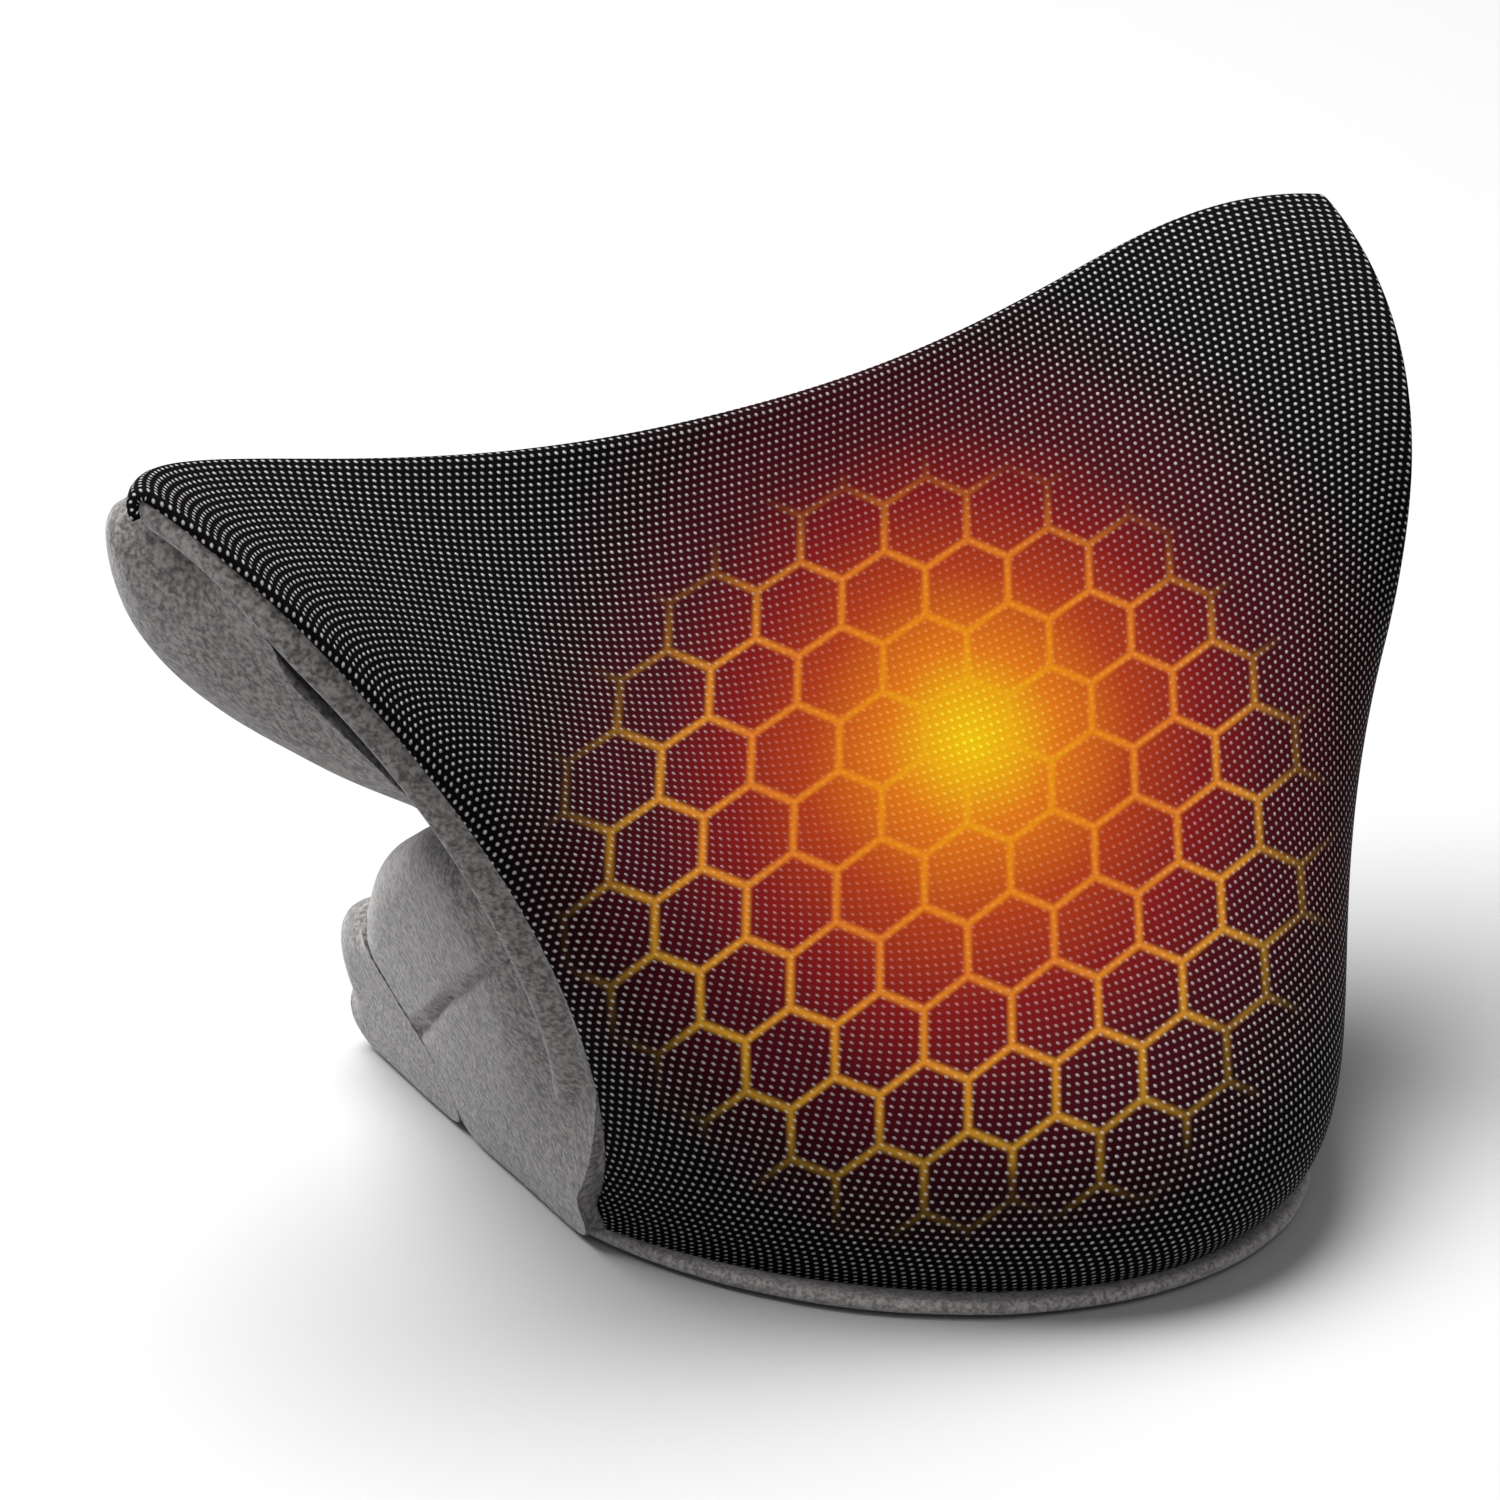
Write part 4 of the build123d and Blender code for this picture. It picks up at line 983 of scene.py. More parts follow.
@dataclass
class EdgeWelt:
    """The grey knit band beside the mesh: a recessed strip, then a rounded ridge from hem to crest."""

    form: SaddleForm
    side: Side
    stations: int = 170
    first: float = 0.02
    last: float = 1.0
    band: float = 16.0 * MM
    ridge_at: float = 9.0 * MM
    ridge_rise: float = 2.4 * MM
    strip_dip: float = 1.8 * MM
    back_drop: float = 6.5 * MM
    tucked: tuple = ((0.94, 10.0 * MM), (0.95, 4.5 * MM), (0.982, 2.6 * MM))

    def _section(self, t: float) -> Profile:
        """Return the band's section at t.

        Args:
            t: The place from hem to crest.

        Returns:
            Pairs of distance back from the mesh's edge and height beyond it.
        """
        low = 1 - smooth_step(0.10, 0.40, t)
        high = smooth_step(0.80, 0.99, t)
        rise = self.ridge_rise * (1 - 0.4 * low) * (1 - high)
        dip = self.strip_dip * (1 - 0.75 * low) * (1 - 0.5 * high)
        ridge = self.ridge_at * (1 + 0.45 * low) * (1 - 0.35 * high)
        band = self.band * (1 + 0.75 * low) * (1 - 0.2 * high)
        drop = self.back_drop * (1 - 0.75 * low)
        back = (ridge + band) / 2
        return [
            (1.0 * MM, -0.9 * MM), (ridge * 0.22, -dip),
            (ridge * 0.42, -dip * 0.9), (ridge * 0.66, rise * 0.35), (ridge * 0.86, rise * 0.92),
            (ridge, rise), (ridge * 1.13, rise * 0.75), (back, -drop * 0.30), (band * 0.90, -drop * 0.85),
            (band, -drop - 2.5 * MM), (band * 0.9, -drop - 6.0 * MM),
        ]

    def build(self, material: bpy.types.Material) -> bpy.types.Object:
        """Build and dress the band.

        Args:
            material: The knit.

        Returns:
            The band's object.
        """
        sign = self.side.value
        outward = Vector((sign, 0.0, 0.0))
        points: Loop = []
        for k in range(self.stations):
            t = self.first + (self.last - self.first) * k / (self.stations - 1)
            _, up, _ = self.form.axes(sign * 1.0, t)
            along = Vector((0.0, up.y, up.z)).normalized()
            inward = Vector((0.0, along.z, -along.y))
            edge = self.form.point(sign * 1.0, t)
            points += [self.form.below(sign * place, t, depth) for place, depth in self.tucked]
            points += [edge + inward * depth + outward * rise for depth, rise in self._section(t)]
        ring = len(self._section(0.0)) + len(self.tucked)
        faces = grid_faces(self.stations, ring, close_columns=True)
        faces.append(tuple(range(ring)))
        faces.append(tuple(range(len(points) - 1, len(points) - ring - 1, -1)))
        welt = new_piece(f"{self.side.word}_edge_welt", points, faces)
        face_outward(welt)
        add_subdivision(welt)
        dress(welt, material)
        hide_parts(f"{self.side.word}_edge_band")
        return welt


# ---------------------------------------------------------------------------- padded blocks


@dataclass
class Crease:
    """A sewn crease pressed into a padded end, along a path in the (y, z) plane."""

    path: Profile
    depth: float = 1.5 * MM
    width: float = 0.9 * MM


@dataclass
class PaddedBlock:
    """A knit-covered foam block that runs from side to side and swells at both ends."""

    name: str
    outline: Callable[[float], Loop]
    width: Callable[[float, float], float]
    rounded: list[Profile]
    nodes: tuple[str, ...]
    end_share: float = 0.95
    swell: float = 6.0 * MM
    swell_run: float = 10.0 * MM
    swell_power: float = 2.2
    front: Profile = field(default_factory=list)
    front_dip: float = 5.0 * MM
    front_run: float = 26.0 * MM
    flush_below: tuple[float, float] = (14 * MM, 46 * MM)
    creases: list[Crease] = field(default_factory=list)
    lumps: float = 0.3 * MM
    ring: int = 150
    columns: int = 70
    cap_rings: int = 34

    def _cap(self, loop: Loop, sign: int) -> tuple[list[Loop], Vector]:
        """Return the rings of one end, from its outline inward, and the middle point."""
        middle = sum(loop, Vector((0, 0, 0))) / len(loop)
        shares = [1 - (k / self.cap_rings) ** 1.7 for k in range(1, self.cap_rings)]
        flat = np.array([[middle.y + r * (p.y - middle.y), middle.z + r * (p.z - middle.z)]
                         for r in [*shares, 0.0] for p in loop])
        gap = np.full(len(flat), np.inf)
        for path in self.rounded:
            gap = np.minimum(gap, distance_to_path(flat, path))
        near = np.clip(gap / self.swell_run, 0, 1)
        rise = self.swell * (1 - (1 - near) ** self.swell_power) ** (1 / self.swell_power)
        if self.front:
            share = np.clip(distance_to_path(flat, self.front) / self.front_run, 0, 1)
            height = np.clip((flat[:, 1] - self.flush_below[0]) / (self.flush_below[1] - self.flush_below[0]),
                             0, 1)
            rise -= self.front_dip * height * (1 - share * share * (3 - 2 * share))
        for crease in self.creases:
            off = distance_to_path(flat, crease.path) / crease.width
            rise -= crease.depth * np.exp(-off ** 2)
        rings, count = [], len(loop)
        for k in range(len(shares)):
            rings.append([
                Vector((sign * (self.end_share * self.width(y, z) + h), y, z))
                for (y, z), h in zip(flat[k * count:(k + 1) * count], rise[k * count:(k + 1) * count])
            ])
        y, z = flat[-1]
        return rings, Vector((sign * (self.end_share * self.width(y, z) + rise[-1]), y, z))

    def _lumpy(self, point: Vector) -> Vector:
        """Return a point moved a little, as hand-filled foam under knit is."""
        place, shift = point * 42.0, Vector((31.7, 17.3, 5.9))
        lump = Vector([noise.noise(place + shift * k) for k in range(3)])
        return point + lump * self.lumps

    def build(self, material: bpy.types.Material) -> bpy.types.Object:
        """Build and dress the block.

        Args:
            material: The knit.

        Returns:
            The block's object.
        """
        spans = [self.end_share * (2 * k / (self.columns - 1) - 1) for k in range(self.columns)]
        loops = [respace(self.outline(s), self.ring) for s in spans]
        left, left_middle = self._cap(loops[0], -1)
        right, right_middle = self._cap(loops[-1], 1)
        rings = [*reversed(left), *loops, *right]
        points = [self._lumpy(p) for ring in rings for p in ring]
        faces = grid_faces(len(rings), self.ring, close_columns=True)
        points += [self._lumpy(left_middle), self._lumpy(right_middle)]
        last, start = len(points) - 1, (len(rings) - 1) * self.ring
        for c in range(self.ring):
            after = (c + 1) % self.ring
            faces.append((after, c, last - 1))
            faces.append((start + c, start + after, last))
        block = new_piece(self.name, points, faces)
        face_outward(block)
        dress(block, material)
        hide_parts(*self.nodes)
        LOG.info("%s: %d vertices", self.name, len(points))
        return block


@dataclass
class ArmShape:
    """The upper arm of the C, under the saddle's top."""

    form: SaddleForm
    depths: LayerDepths
    root_depth: float = 3.0 * MM
    belly: tuple[float, float] = (34 * MM, 104 * MM)
    throat: tuple[float, float] = (50 * MM, 111 * MM)
    nose: tuple[float, float] = (58 * MM, 124 * MM)
    brow_y: float = 56 * MM
    brow_rise: float = 0.45
    tip_reach: float = 11 * MM
    tip_drop: float = 5.2 * MM
    top_end: float = 0.978
    crest_depth: float = 4.0 * MM
    corner_drop: float = 3.5 * MM
    top_points: int = 18

    def start(self, s: float) -> float:
        """Return how far up the saddle the arm starts at s."""
        return 0.79 - 0.20 * s * s

    def outline(self, s: float) -> Loop:
        """Return the arm's rounded section at s.

        Args:
            s: The place from side to side.

        Returns:
            The closed section, from its root up under the foam and back by the underside.
        """
        core = self.depths.core - 0.8 * MM
        low = self.start(s)
        top = []
        for k in range(self.top_points):
            t = low + (self.top_end - low) * k / (self.top_points - 1)
            sunk = self.crest_depth + self.corner_drop * smooth_step(0.50, 0.80, abs(s))
            raised = smooth_step(0.87, 0.97, t)
            place = self.form.below(s, t, core - (core - sunk) * raised)
            _, up, _ = self.form.axes(math.copysign(1.0, s), t)
            edge = self.form.point(math.copysign(1.0, s), t)
            along = Vector((0.0, up.y, up.z)).normalized()
            under = self.crest_depth + self.corner_drop * smooth_step(0.88, 0.96, t)
            y, z = edge.y + along.z * under, edge.z - along.y * under
            corner = Vector((s * self.form.width(y, z), y, z))
            top.append(place.lerp(corner, smooth_step(0.80, 0.95, t) * smooth_step(0.90, 0.95, abs(s))))
        crest = self.form.point(s, 1.0)
        rise = crest.z - self.nose[1]
        brow = (self.brow_y, self.nose[1] + self.brow_rise * rise)
        tip = (crest.y + self.tip_reach, crest.z - self.tip_drop)
        below = [Vector((s * self.form.width(y, z), y, z))
                 for y, z in (tip, brow, self.nose, self.throat, self.belly)]
        root = self.form.below(s, low, core + self.root_depth)
        return round_corners([*top, *below, root], 12 * MM, 7)

    def block(self) -> PaddedBlock:
        """Return the padded block that this shape makes."""
        edge = [(p.y, p.z) for p in self.outline(0.95)]
        corner = self.top_points * 7
        return PaddedBlock(
            name="upper_arm_pad", outline=self.outline, width=self.form.width,
            rounded=[edge[corner - 8:]], front=edge[:corner - 14],
            nodes=("arm_bolster", "left_arm_side", "right_arm_side"),
            swell=12.0 * MM, swell_run=20 * MM, swell_power=2.0, front_dip=3.0 * MM, front_run=26 * MM,
        )


@dataclass
class BaseShape:
    """The lower block with its inner lobe, and the heel pad across the slit from it."""

    form: SaddleForm
    depths: LayerDepths
    half_width: float = 70 * MM
    flare: float = 0.36
    taper: float = -0.25
    floor: float = 1.6 * MM
    slit_foot: tuple[float, float] = (51 * MM, 12 * MM)
    slit_middle: tuple[float, float] = (65 * MM, 26.6 * MM)
    notch: tuple[float, float] = (79 * MM, 42 * MM)
    slit_gap: float = 1.5 * MM
    front_points: int = 18

    def width(self, y: float, z: float) -> float:
        """Return the block's half width at a place."""
        return self.half_width + self.flare * z + self.taper * y

    def crown(self, s: float) -> float:
        """Return how far up the saddle the block reaches at s."""
        return 0.72 - 0.20 * s * s

    def _across(self, s: float, path: Profile) -> Loop:
        """Return a path of (y, z) points at s."""
        return [Vector((s * self.width(y, z), y, z)) for y, z in path]

    def block_outline(self, s: float) -> Loop:
        """Return the lower block's rounded section at s.

        Args:
            s: The place from side to side.

        Returns:
            The closed section, from the front's foot up, over the lobe and down the slit.
        """
        core, high = self.depths.core - 0.8 * MM, self.crown(s)
        front = [self.form.below(s, 0.02 + (high - 0.02) * k / (self.front_points - 1), core)
                 for k in range(self.front_points)]
        foot = Vector((front[0].x, front[0].y, self.floor))
        rear = [(22 * MM, 83 * MM), (46 * MM, 69.5 * MM), (58 * MM, 61 * MM), (68 * MM, 52 * MM),
                self.notch, self.slit_middle, self.slit_foot, (self.slit_foot[0], self.floor)]
        return round_corners([foot, *front, *self._across(s, rear)], 9 * MM, 6)

    def heel_outline(self, s: float) -> Loop:
        """Return the heel pad's rounded section at s."""
        gap = self.slit_gap
        path = [(self.slit_foot[0], self.floor), self.slit_foot,
                (self.slit_middle[0] + gap, self.slit_middle[1]), (self.notch[0] + gap, self.notch[1] - MM),
                (96 * MM, 36 * MM), (104.2 * MM, 23 * MM), (104.2 * MM, self.floor)]
        return round_corners(self._across(s, path), 8 * MM, 6)

    def blocks(self) -> tuple[PaddedBlock, PaddedBlock]:
        """Return the two padded blocks that these shapes make."""
        lobe = [(p.y, p.z) for p in self.block_outline(0.95)]
        first = self.front_points * 6
        until = (self.front_points + 5) * 6 + 3
        crease = [(59 * MM, 22 * MM), (30 * MM, 42 * MM), (-16 * MM, 71 * MM)]
        heel = [(p.y, p.z) for p in self.heel_outline(0.95)]
        block = PaddedBlock(
            name="lower_block_pad", outline=self.block_outline, width=self.width,
            rounded=[lobe[first:until]], front=lobe[6:first], creases=[Crease(crease)],
            nodes=("base_cushion", "left_base_side", "right_base_side"), swell=10.0 * MM,
            swell_run=11 * MM, front_dip=7.5 * MM, front_run=30 * MM,
        )
        rear = PaddedBlock(
            name="heel_pad_cover", outline=self.heel_outline, width=self.width,
            rounded=[heel[21:36]], nodes=("heel_pad",), swell=10.0 * MM, swell_run=11 * MM, columns=110,
        )
        return block, rear


@dataclass
class SaddleFoam:
    """The foam sheet between the mesh and the blocks, in the knit sleeve that shows in the throat."""

    form: SaddleForm
    depths: LayerDepths
    reach: float = 0.92
    narrowing: float = 0.10
    low: float = 0.02
    high: float = 0.92
    columns: int = 90
    rows: int = 70

    def build(self, material: bpy.types.Material) -> bpy.types.Object:
        """Build and dress the foam sheet.

        Args:
            material: The sleeve's knit.

        Returns:
            The foam's object.
        """
        half = (self.depths.foam_bottom - self.depths.foam_top) / 2
        middle = self.depths.foam_top + half
        points: Loop = []
        for j in range(self.rows):
            t = self.low + (self.high - self.low) * j / (self.rows - 1)
            ring: Loop = []
            reach = self.reach - self.narrowing * smooth_step(0.5, 0.7, t)
            for depth, order in ((middle - half, 1), (middle + half, -1)):
                for i in range(self.columns)[::order]:
                    s = reach * (2 * i / (self.columns - 1) - 1)
                    ring.append(self.form.below(s, t, depth))
            points += ring
        ring_size = 2 * self.columns
        faces = grid_faces(self.rows, ring_size, close_columns=True)
        last = (self.rows - 1) * ring_size
        for i in range(self.columns - 1):
            faces.append((i, i + 1, ring_size - 2 - i, ring_size - 1 - i))
            faces.append((last + i, last + i + 1, last + ring_size - 2 - i, last + ring_size - 1 - i))
        foam = new_piece("saddle_foam_pad", points, faces)
        face_outward(foam)
        bevel = foam.modifiers.new("cut edge", "BEVEL")
        bevel.width = 1.2 * MM
        bevel.segments = 3
        bevel.limit_method = "ANGLE"
        bevel.angle_limit = math.radians(50)
        dress(foam, material)
        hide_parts("saddle_foam")
        return foam


# ---------------------------------------------------------------------------- floor panel, zip


@dataclass
class FloorPanel:
    """The felt panel under the cradle, with a rolled rim that shows below the mesh."""

    half_side: float = 76.0 * MM
    front: float = 93.2 * MM
    back: float = 103.2 * MM
    rear_half: float = 49.5 * MM
    corner: float = 12 * MM
    low: float = 1.0 * MM
    high: float = 3.9 * MM
    rim: float = 1.45 * MM
    arc_points: int = 60

    def _outline(self) -> Loop:
        """Return the panel's outline: half an ellipse in front and tapered sides behind."""
        steps = self.arc_points
        arc = [Vector((self.half_side * math.cos(a), self.front * math.sin(a), 0.0))
               for a in (math.pi + math.pi * k / steps for k in range(steps + 1))]
        rear = [Vector((self.rear_half, self.back, 0.0)), Vector((-self.rear_half, self.back, 0.0))]
        return respace(round_corners([*arc, *rear], self.corner, 5), 320)

    def build(self, material: bpy.types.Material) -> bpy.types.Object:
        """Build and dress the panel.

        Args:
            material: The felt.

        Returns:
            The panel's object.
        """
        outline = self._outline()
        middle = (self.low + self.high) / 2
        centre = Vector((0.0, 8 * MM, 0.0))
        section: Profile = [(math.cos(a) * self.rim, math.sin(a) * self.rim)
                            for a in (math.radians(d) for d in range(-90, 91, 20))]
        rings: list[Loop] = []
        for inset in (0.25, 0.6, 0.88):
            rings.append([centre.lerp(p, inset) + Vector((0, 0, self.low + 0.1 * MM)) for p in outline])
        for out, rise in section:
            ring: Loop = []
            for p in outline:
                away = (p - centre).normalized()
                wobble = noise.noise(p * 60.0) * 0.35 * MM
                ring.append(p - away * self.rim + away * (out + wobble) + Vector((0, 0, middle + rise)))
            rings.append(ring)
        for inset in (0.88, 0.6, 0.25):
            rings.append([centre.lerp(p, inset) + Vector((0, 0, self.high - 0.5 * MM)) for p in outline])
        count = len(outline)
        points = [p for ring in rings for p in ring]
        faces = grid_faces(len(rings), count, close_columns=True)
        points += [centre + Vector((0, 0, self.low + 0.1 * MM)), centre + Vector((0, 0, self.high - 0.5 * MM))]
        last, start = len(points) - 1, (len(rings) - 1) * count
        for c in range(count):
            after = (c + 1) % count
            faces.append((after, c, last - 1))
            faces.append((start + c, start + after, last))
        panel = new_piece("felt_floor_panel", points, faces)
        face_outward(panel)
        dress(panel, material)
        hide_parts("base_pad")
        return panel


@dataclass
class ZipTape:
    """The woven tape of the zip across the notch, with a row of stitches along each edge."""

    centre: tuple[float, float] = (83.2 * MM, 43.6 * MM)
    slope: float = 33.5
    length: float = 88 * MM
    width: float = 18 * MM
    thickness: float = 0.8 * MM
    stitch: float = 2.6 * MM
    stitch_gap: float = 1.2 * MM
    thread: float = 0.28 * MM
    columns: int = 90
    rows: int = 20

    def _place(self, along: float, across: float, above: float) -> Vector:
        """Return a point of the tape's own plane in the frame."""
        turn = math.radians(self.slope)
        y, z = self.centre
        normal = Vector((0.0, math.sin(turn), math.cos(turn)))
        sideways = Vector((0.0, math.cos(turn), -math.sin(turn)))
        return Vector((along, y, z)) + sideways * across + normal * above

    def _lift(self, along: float, across: float) -> float:
        """Return how far the tape's edges ripple off its plane."""
        edge = smooth_step(0.5, 1.0, abs(across) / (self.width / 2))
        return edge * 0.22 * MM * math.sin(along * 240.0 + (2.0 if across > 0 else 0.0))

    def build(self, tape_material: bpy.types.Material, thread_material: bpy.types.Material) -> None:
        """Build and dress the tape and its stitches.

        Args:
            tape_material: The woven ribbon.
            thread_material: The sewing thread.
        """
        points, weave = [], []
        for j in range(self.rows):
            across = self.width * (j / (self.rows - 1) - 0.5)
            for i in range(self.columns):
                along = self.length * (i / (self.columns - 1) - 0.5)
                points.append(self._place(along, across, self.thickness * 0.9 + self._lift(along, across)))
                weave.append((along, across, 0.0))
        tape = new_piece("zip_tape_woven", points, grid_faces(self.rows, self.columns))
        set_point_vectors(tape, "weave", weave)
        solid = tape.modifiers.new("ribbon", "SOLIDIFY")
        solid.thickness = 0.6 * MM
        solid.offset = -1.0
        dress(tape, tape_material)
        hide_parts("zip_tape")
        stitches = self._stitches(thread_material)

    def _stitches(self, material: bpy.types.Material) -> bpy.types.Object:
        """Build the rows of stitches as short arched threads in one piece."""
        points: Loop = []
        faces: list[tuple[int, ...]] = []
        around, steps = 6, 5
        pitch = self.stitch + self.stitch_gap
        count = int((self.length - 8 * MM) / pitch)
        for across in (-self.width / 2 + 1.6 * MM, self.width / 2 - 1.6 * MM):
            for k in range(count):
                start = (k - (count - 1) / 2) * pitch - self.stitch / 2
                base = len(points)
                for j in range(steps):
                    share = j / (steps - 1)
                    arch = math.sin(math.pi * share)
                    radius = self.thread * (0.45 + 0.55 * arch)
                    for i in range(around):
                        a = 2 * math.pi * i / around
                        points.append(self._place(
                            start + share * self.stitch, across + radius * math.cos(a),
                            self.thickness * 0.9 + (0.30 * arch - 0.05) * MM + radius * math.sin(a)))
                faces += [tuple(base + n for n in f) for f in grid_faces(steps, around, close_columns=True)]
                faces.append(tuple(base + i for i in range(around)))
                end = base + (steps - 1) * around
                faces.append(tuple(end + i for i in reversed(range(around))))
        stitches = new_piece("zip_tape_stitches", points, faces)
        face_outward(stitches)
        dress(stitches, material)
        return stitches


# ---------------------------------------------------------------------------- carried-over nodes


class NodeDresser:
    """Gives every carried-over CAD node its finish."""

    def __init__(self, effects: Effects) -> None:
        """Build the finishes, each used by one family of nodes."""
        moulded, metal = MouldedFinish, DrawnMetalFinish
        self.families: list[tuple[object, tuple[str, ...]]] = [
            (moulded("cassette_nylon", (0.028, 0.028, 0.031), 0.55, 0.9),
             ("cassette_front", "cassette_rear", "electronics_tray", "tray_lid")),
            (moulded("gear_acetal", (0.80, 0.79, 0.74), 0.35, 1.4, 0.00002),
             ("left_output_gear", "right_output_gear", "reduction_gear")),
            (metal("sintered_bronze", (0.60, 0.38, 0.17), 0.4, (1.0, 1.0, 1.0)),
             ("left_bush", "right_bush", "left_rear_bush", "right_rear_bush", "motor_pinion")),
            (metal("bright_steel", (0.62, 0.63, 0.65), 0.3),
             ("reduction_axle", "left_ball_pin", "right_ball_pin", "left_ball_clips", "right_ball_clips",
              "motor_screws", "cassette_screws", "board_screws", "drive_motor")),
            (moulded("kneading_nodes", (0.62, 0.10, 0.025), 0.28, 1.2, 0.00001, 0.5),
             ("left_kneading_arm", "right_kneading_arm", "left_outer_ball", "left_inner_ball",
              "right_inner_ball", "right_outer_ball")),
            (moulded("cell_wrap", (0.015, 0.075, 0.27), 0.25, 0.6, 0.00001, 0.6), ("battery_cells",)),
            (CombPrintFinish("board_mask", (0.006, 0.055, 0.022), (0.45, 0.33, 0.10), 4.2 * MM, 0.05),
             ("control_board",)),
            (moulded("switch_body", (0.012, 0.012, 0.013), 0.4, 1.5), ("tact_switches",)),
            (moulded("bezel_texture", (0.022, 0.022, 0.024), 0.6, 0.55, 0.00007), ("control_bezel",)),
            (moulded("soft_keys", (0.17, 0.17, 0.175), 0.75, 0.8, 0.00005),
             ("power_button", "heat_button", "port_flap")),
            (moulded("led_diffuser", (0.80, 0.82, 0.80), 0.3, 2.0, 0.00001, 0.4), ("led_lens",)),
            (metal("stamped_shell", (0.70, 0.70, 0.71), 0.25, (1.0, 0.05, 1.0)), ("usb_port",)),
            (moulded("nylon_coil", (0.012, 0.012, 0.013), 0.32, 1.5, 0.00002, 0.3), ("zip_teeth",)),
            (moulded("zip_enamel", (0.030, 0.030, 0.034), 0.22, 0.7, 0.00001, 0.8, 0.6),
             ("zip_slider", "zip_pull")),
            (moulded("grip_silicone", (0.016, 0.016, 0.018), 0.6, 1.0, 0.00006), ("grip_dots",)),
            (CombPrintFinish("heater_film", (0.42, 0.13, 0.025), (0.03, 0.03, 0.032)), ("heating_film",)),
        ]
        self.effects = effects

    def dress_all(self) -> int:
        """Dress the nodes.

        Returns:
            How many nodes were dressed.
        """
        count = 0
        for finish, names in self.families:
            material = finish.make(self.effects)
            for name in names:
                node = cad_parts[name]
                if node.data.materials:
                    for i in range(len(node.data.materials)):
                        node.data.materials[i] = material
                else:
                    node.data.materials.append(material)
                count += 1
        return count


# ---------------------------------------------------------------------------- studio


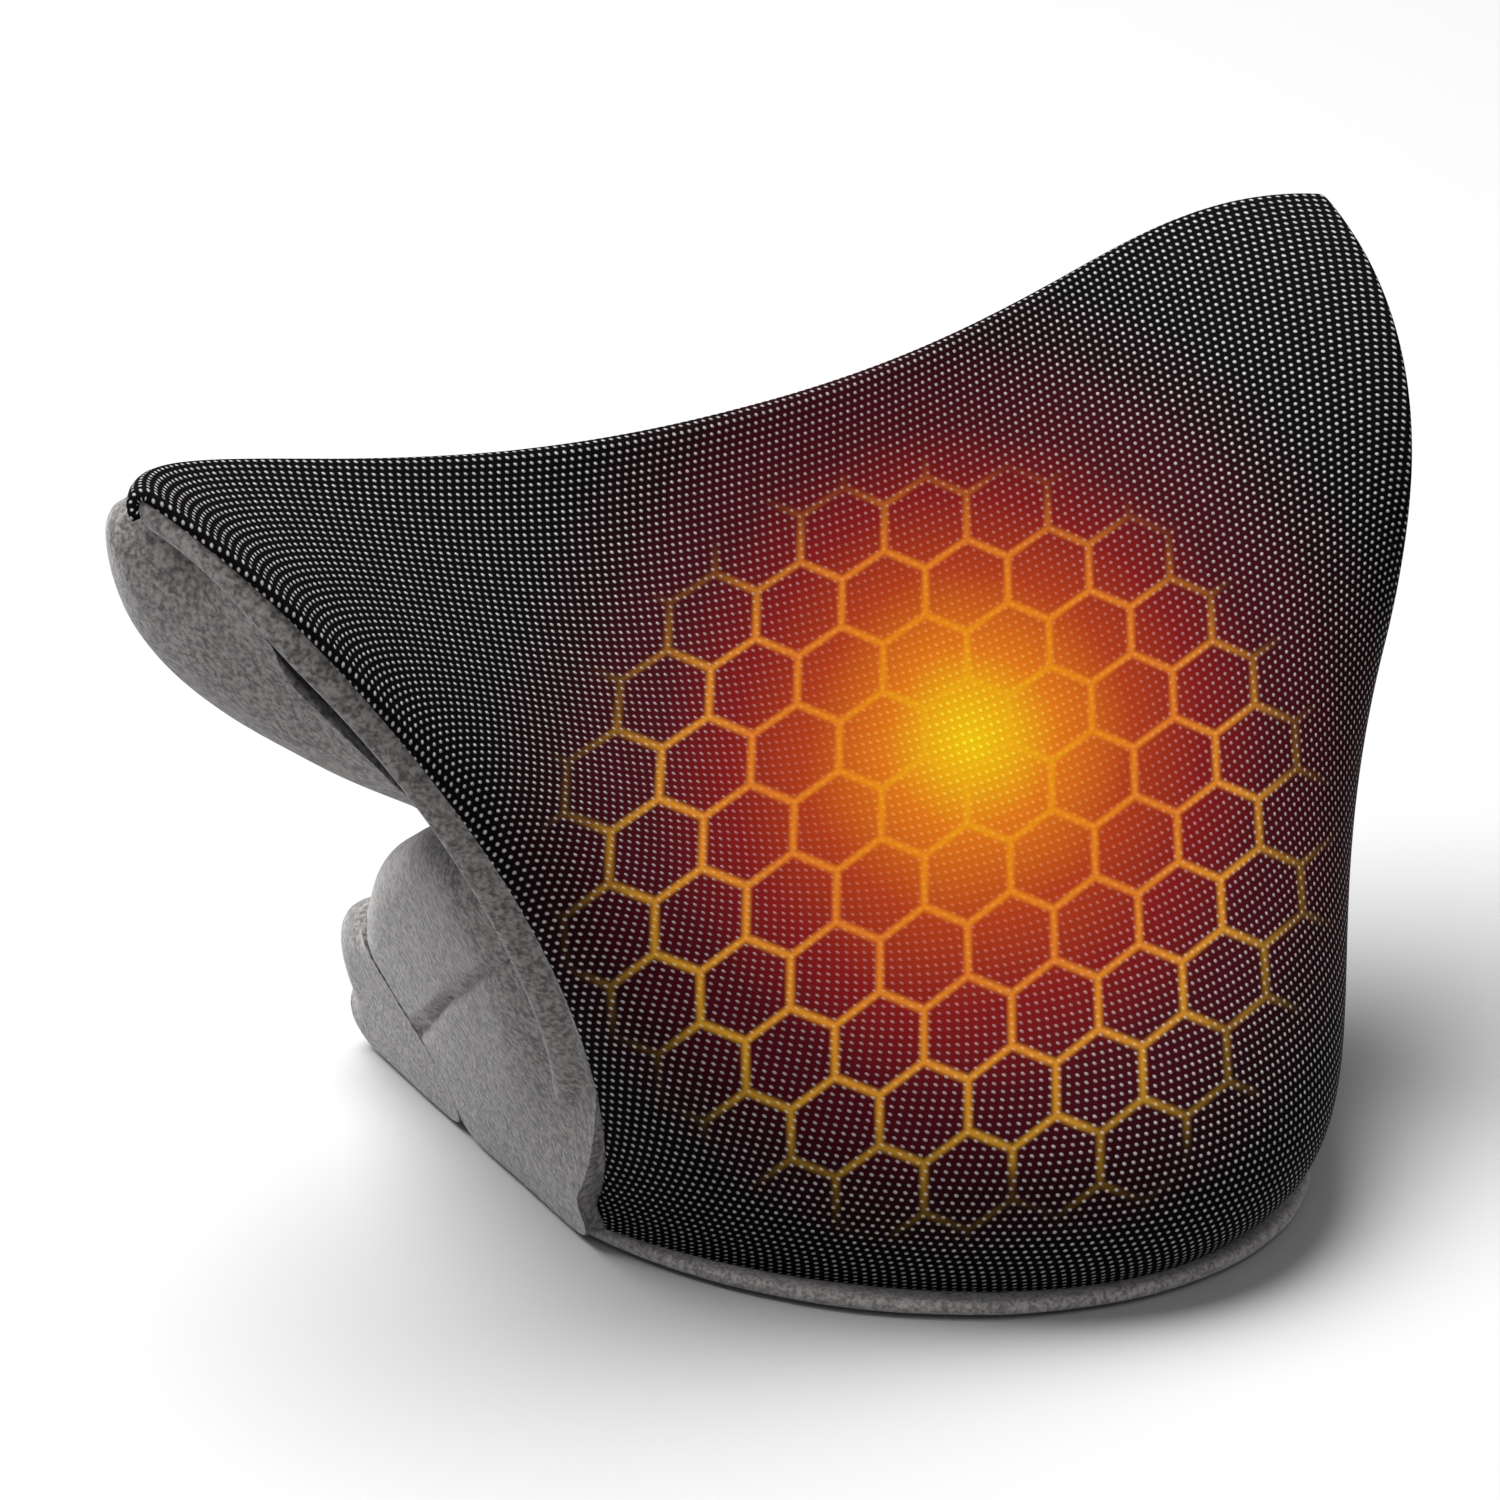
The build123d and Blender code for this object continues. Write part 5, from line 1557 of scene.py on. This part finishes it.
@dataclass
class Studio:
    """A pale floor, soft lights and the camera."""

    aim: Vector = field(default_factory=lambda: Vector((0.0, -20 * MM, 75 * MM)))
    distance: float = 1107.1 * MM
    turn: float = 41.575
    rise: float = 21.214
    focal_share: float = 5771 / 1500
    off_middle: tuple[float, float] = (-198 / 5771, 55 / 5771)

    def _axes(self) -> tuple[Vector, Vector, Vector]:
        """Return the camera's right, ahead and up directions before it is centred."""
        turn, rise = math.radians(self.turn), math.radians(self.rise)
        right = Vector((math.cos(turn), -math.sin(turn), 0.0))
        ahead = Vector((math.sin(turn) * math.cos(rise), math.cos(turn) * math.cos(rise), -math.sin(rise)))
        return right, ahead, right.cross(ahead)

    def make_camera(self) -> None:
        """Place the camera so that the massager fills the frame off its lens axis."""
        right, ahead, above = self._axes()
        look = (ahead + right * self.off_middle[0] + above * self.off_middle[1]).normalized()
        across = (right - look * right.dot(look)).normalized()
        back = -look
        up = back.cross(across)
        data = bpy.data.cameras.new("camera")
        data.sensor_width = 36.0
        data.lens = 36.0 * self.focal_share
        data.clip_start = 0.01
        data.clip_end = 50.0
        camera = bpy.data.objects.new("camera", data)
        bpy.context.scene.collection.objects.link(camera)
        place = self.aim - ahead * self.distance
        basis = Matrix((across, up, back)).transposed().to_4x4()
        camera.matrix_world = Matrix.Translation(place) @ basis
        bpy.context.scene.camera = camera

    def make_floor(self) -> None:
        """Lay a large pale floor."""
        reach = 6.0
        corners = [Vector((x, y, 0.0)) for x, y in ((-reach, -reach), (reach, -reach), (reach, reach),
                                                    (-reach, reach))]
        floor = new_piece("studio_floor", corners, [(0, 1, 2, 3)])
        material, _, surface = new_material("pale_floor")
        surface.inputs["Base Color"].default_value = (0.43, 0.43, 0.43, 1.0)
        surface.inputs["Roughness"].default_value = 0.9
        floor.data.materials.append(material)

    def _area(self, name: str, direction: Vector, size: float, power: float, far: float = 3.0) -> None:
        """Add one soft area light that faces the massager."""
        data = bpy.data.lights.new(name, "AREA")
        data.shape = "DISK"
        data.size = size
        data.energy = power
        lamp = bpy.data.objects.new(name, data)
        bpy.context.scene.collection.objects.link(lamp)
        lamp.location = self.aim + direction.normalized() * far
        lamp.rotation_mode = "QUATERNION"
        lamp.rotation_quaternion = direction.to_track_quat("Z", "Y")

    def make_lights(self) -> None:
        """Add the key from the upper left, a fill and the white surround."""
        right, ahead, above = self._axes()
        self._area("key", Vector((0.0, 0.0, 1.0)) - right * 0.38 + ahead * 0.18, 3.2, 262.0)
        self._area("front_fill", above * 0.6 + right * 0.35 - ahead * 1.0, 2.2, 16.0)
        world = bpy.data.worlds.new("surround")
        bpy.context.scene.world = world
        world.use_nodes = True
        world.node_tree.nodes["Background"].inputs["Color"].default_value = (1.0, 1.0, 1.0, 1.0)
        world.node_tree.nodes["Background"].inputs["Strength"].default_value = 0.22
        bpy.context.scene.view_settings.view_transform = "Standard"


# ---------------------------------------------------------------------------- assembly


def main() -> None:
    """Build the massager's soft pieces, dress the frame and set the studio."""
    logging.basicConfig(level=logging.INFO, format="%(message)s")
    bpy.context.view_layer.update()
    effects = Effects()
    form, depths = SaddleForm(), LayerDepths()
    knit = KnitFinish("grey_heather_knit", fineness=0.72, lint_depth=0.0006).make(effects)
    felt = KnitFinish("grey_felt", light=(0.42, 0.40, 0.395), dark=(0.13, 0.122, 0.12)).make(effects)
    thread = MouldedFinish("sewing_thread", (0.05, 0.05, 0.052), 0.7, 2.0, 0.00005).make(effects)
    tape = WovenTapeFinish("zip_ribbon", (0.040, 0.040, 0.043)).make(effects)

    SaddleFoam(form, depths).build(knit)
    MeshCover(form).build(effects)
    for side in Side:
        LOG.info("built %s", EdgeWelt(form, side).build(knit).name)
    LOG.info("built %s", ArmShape(form, depths).block().build(knit).name)
    for block in BaseShape(form, depths).blocks():
        LOG.info("built %s", block.build(knit).name)
    LOG.info("built %s", FloorPanel().build(felt).name)
    ZipTape().build(tape, thread)
    LOG.info("dressed %d nodes", NodeDresser(effects).dress_all())

    studio = Studio()
    studio.make_floor()
    studio.make_camera()
    studio.make_lights()


if __name__ == "__main__":
    main()
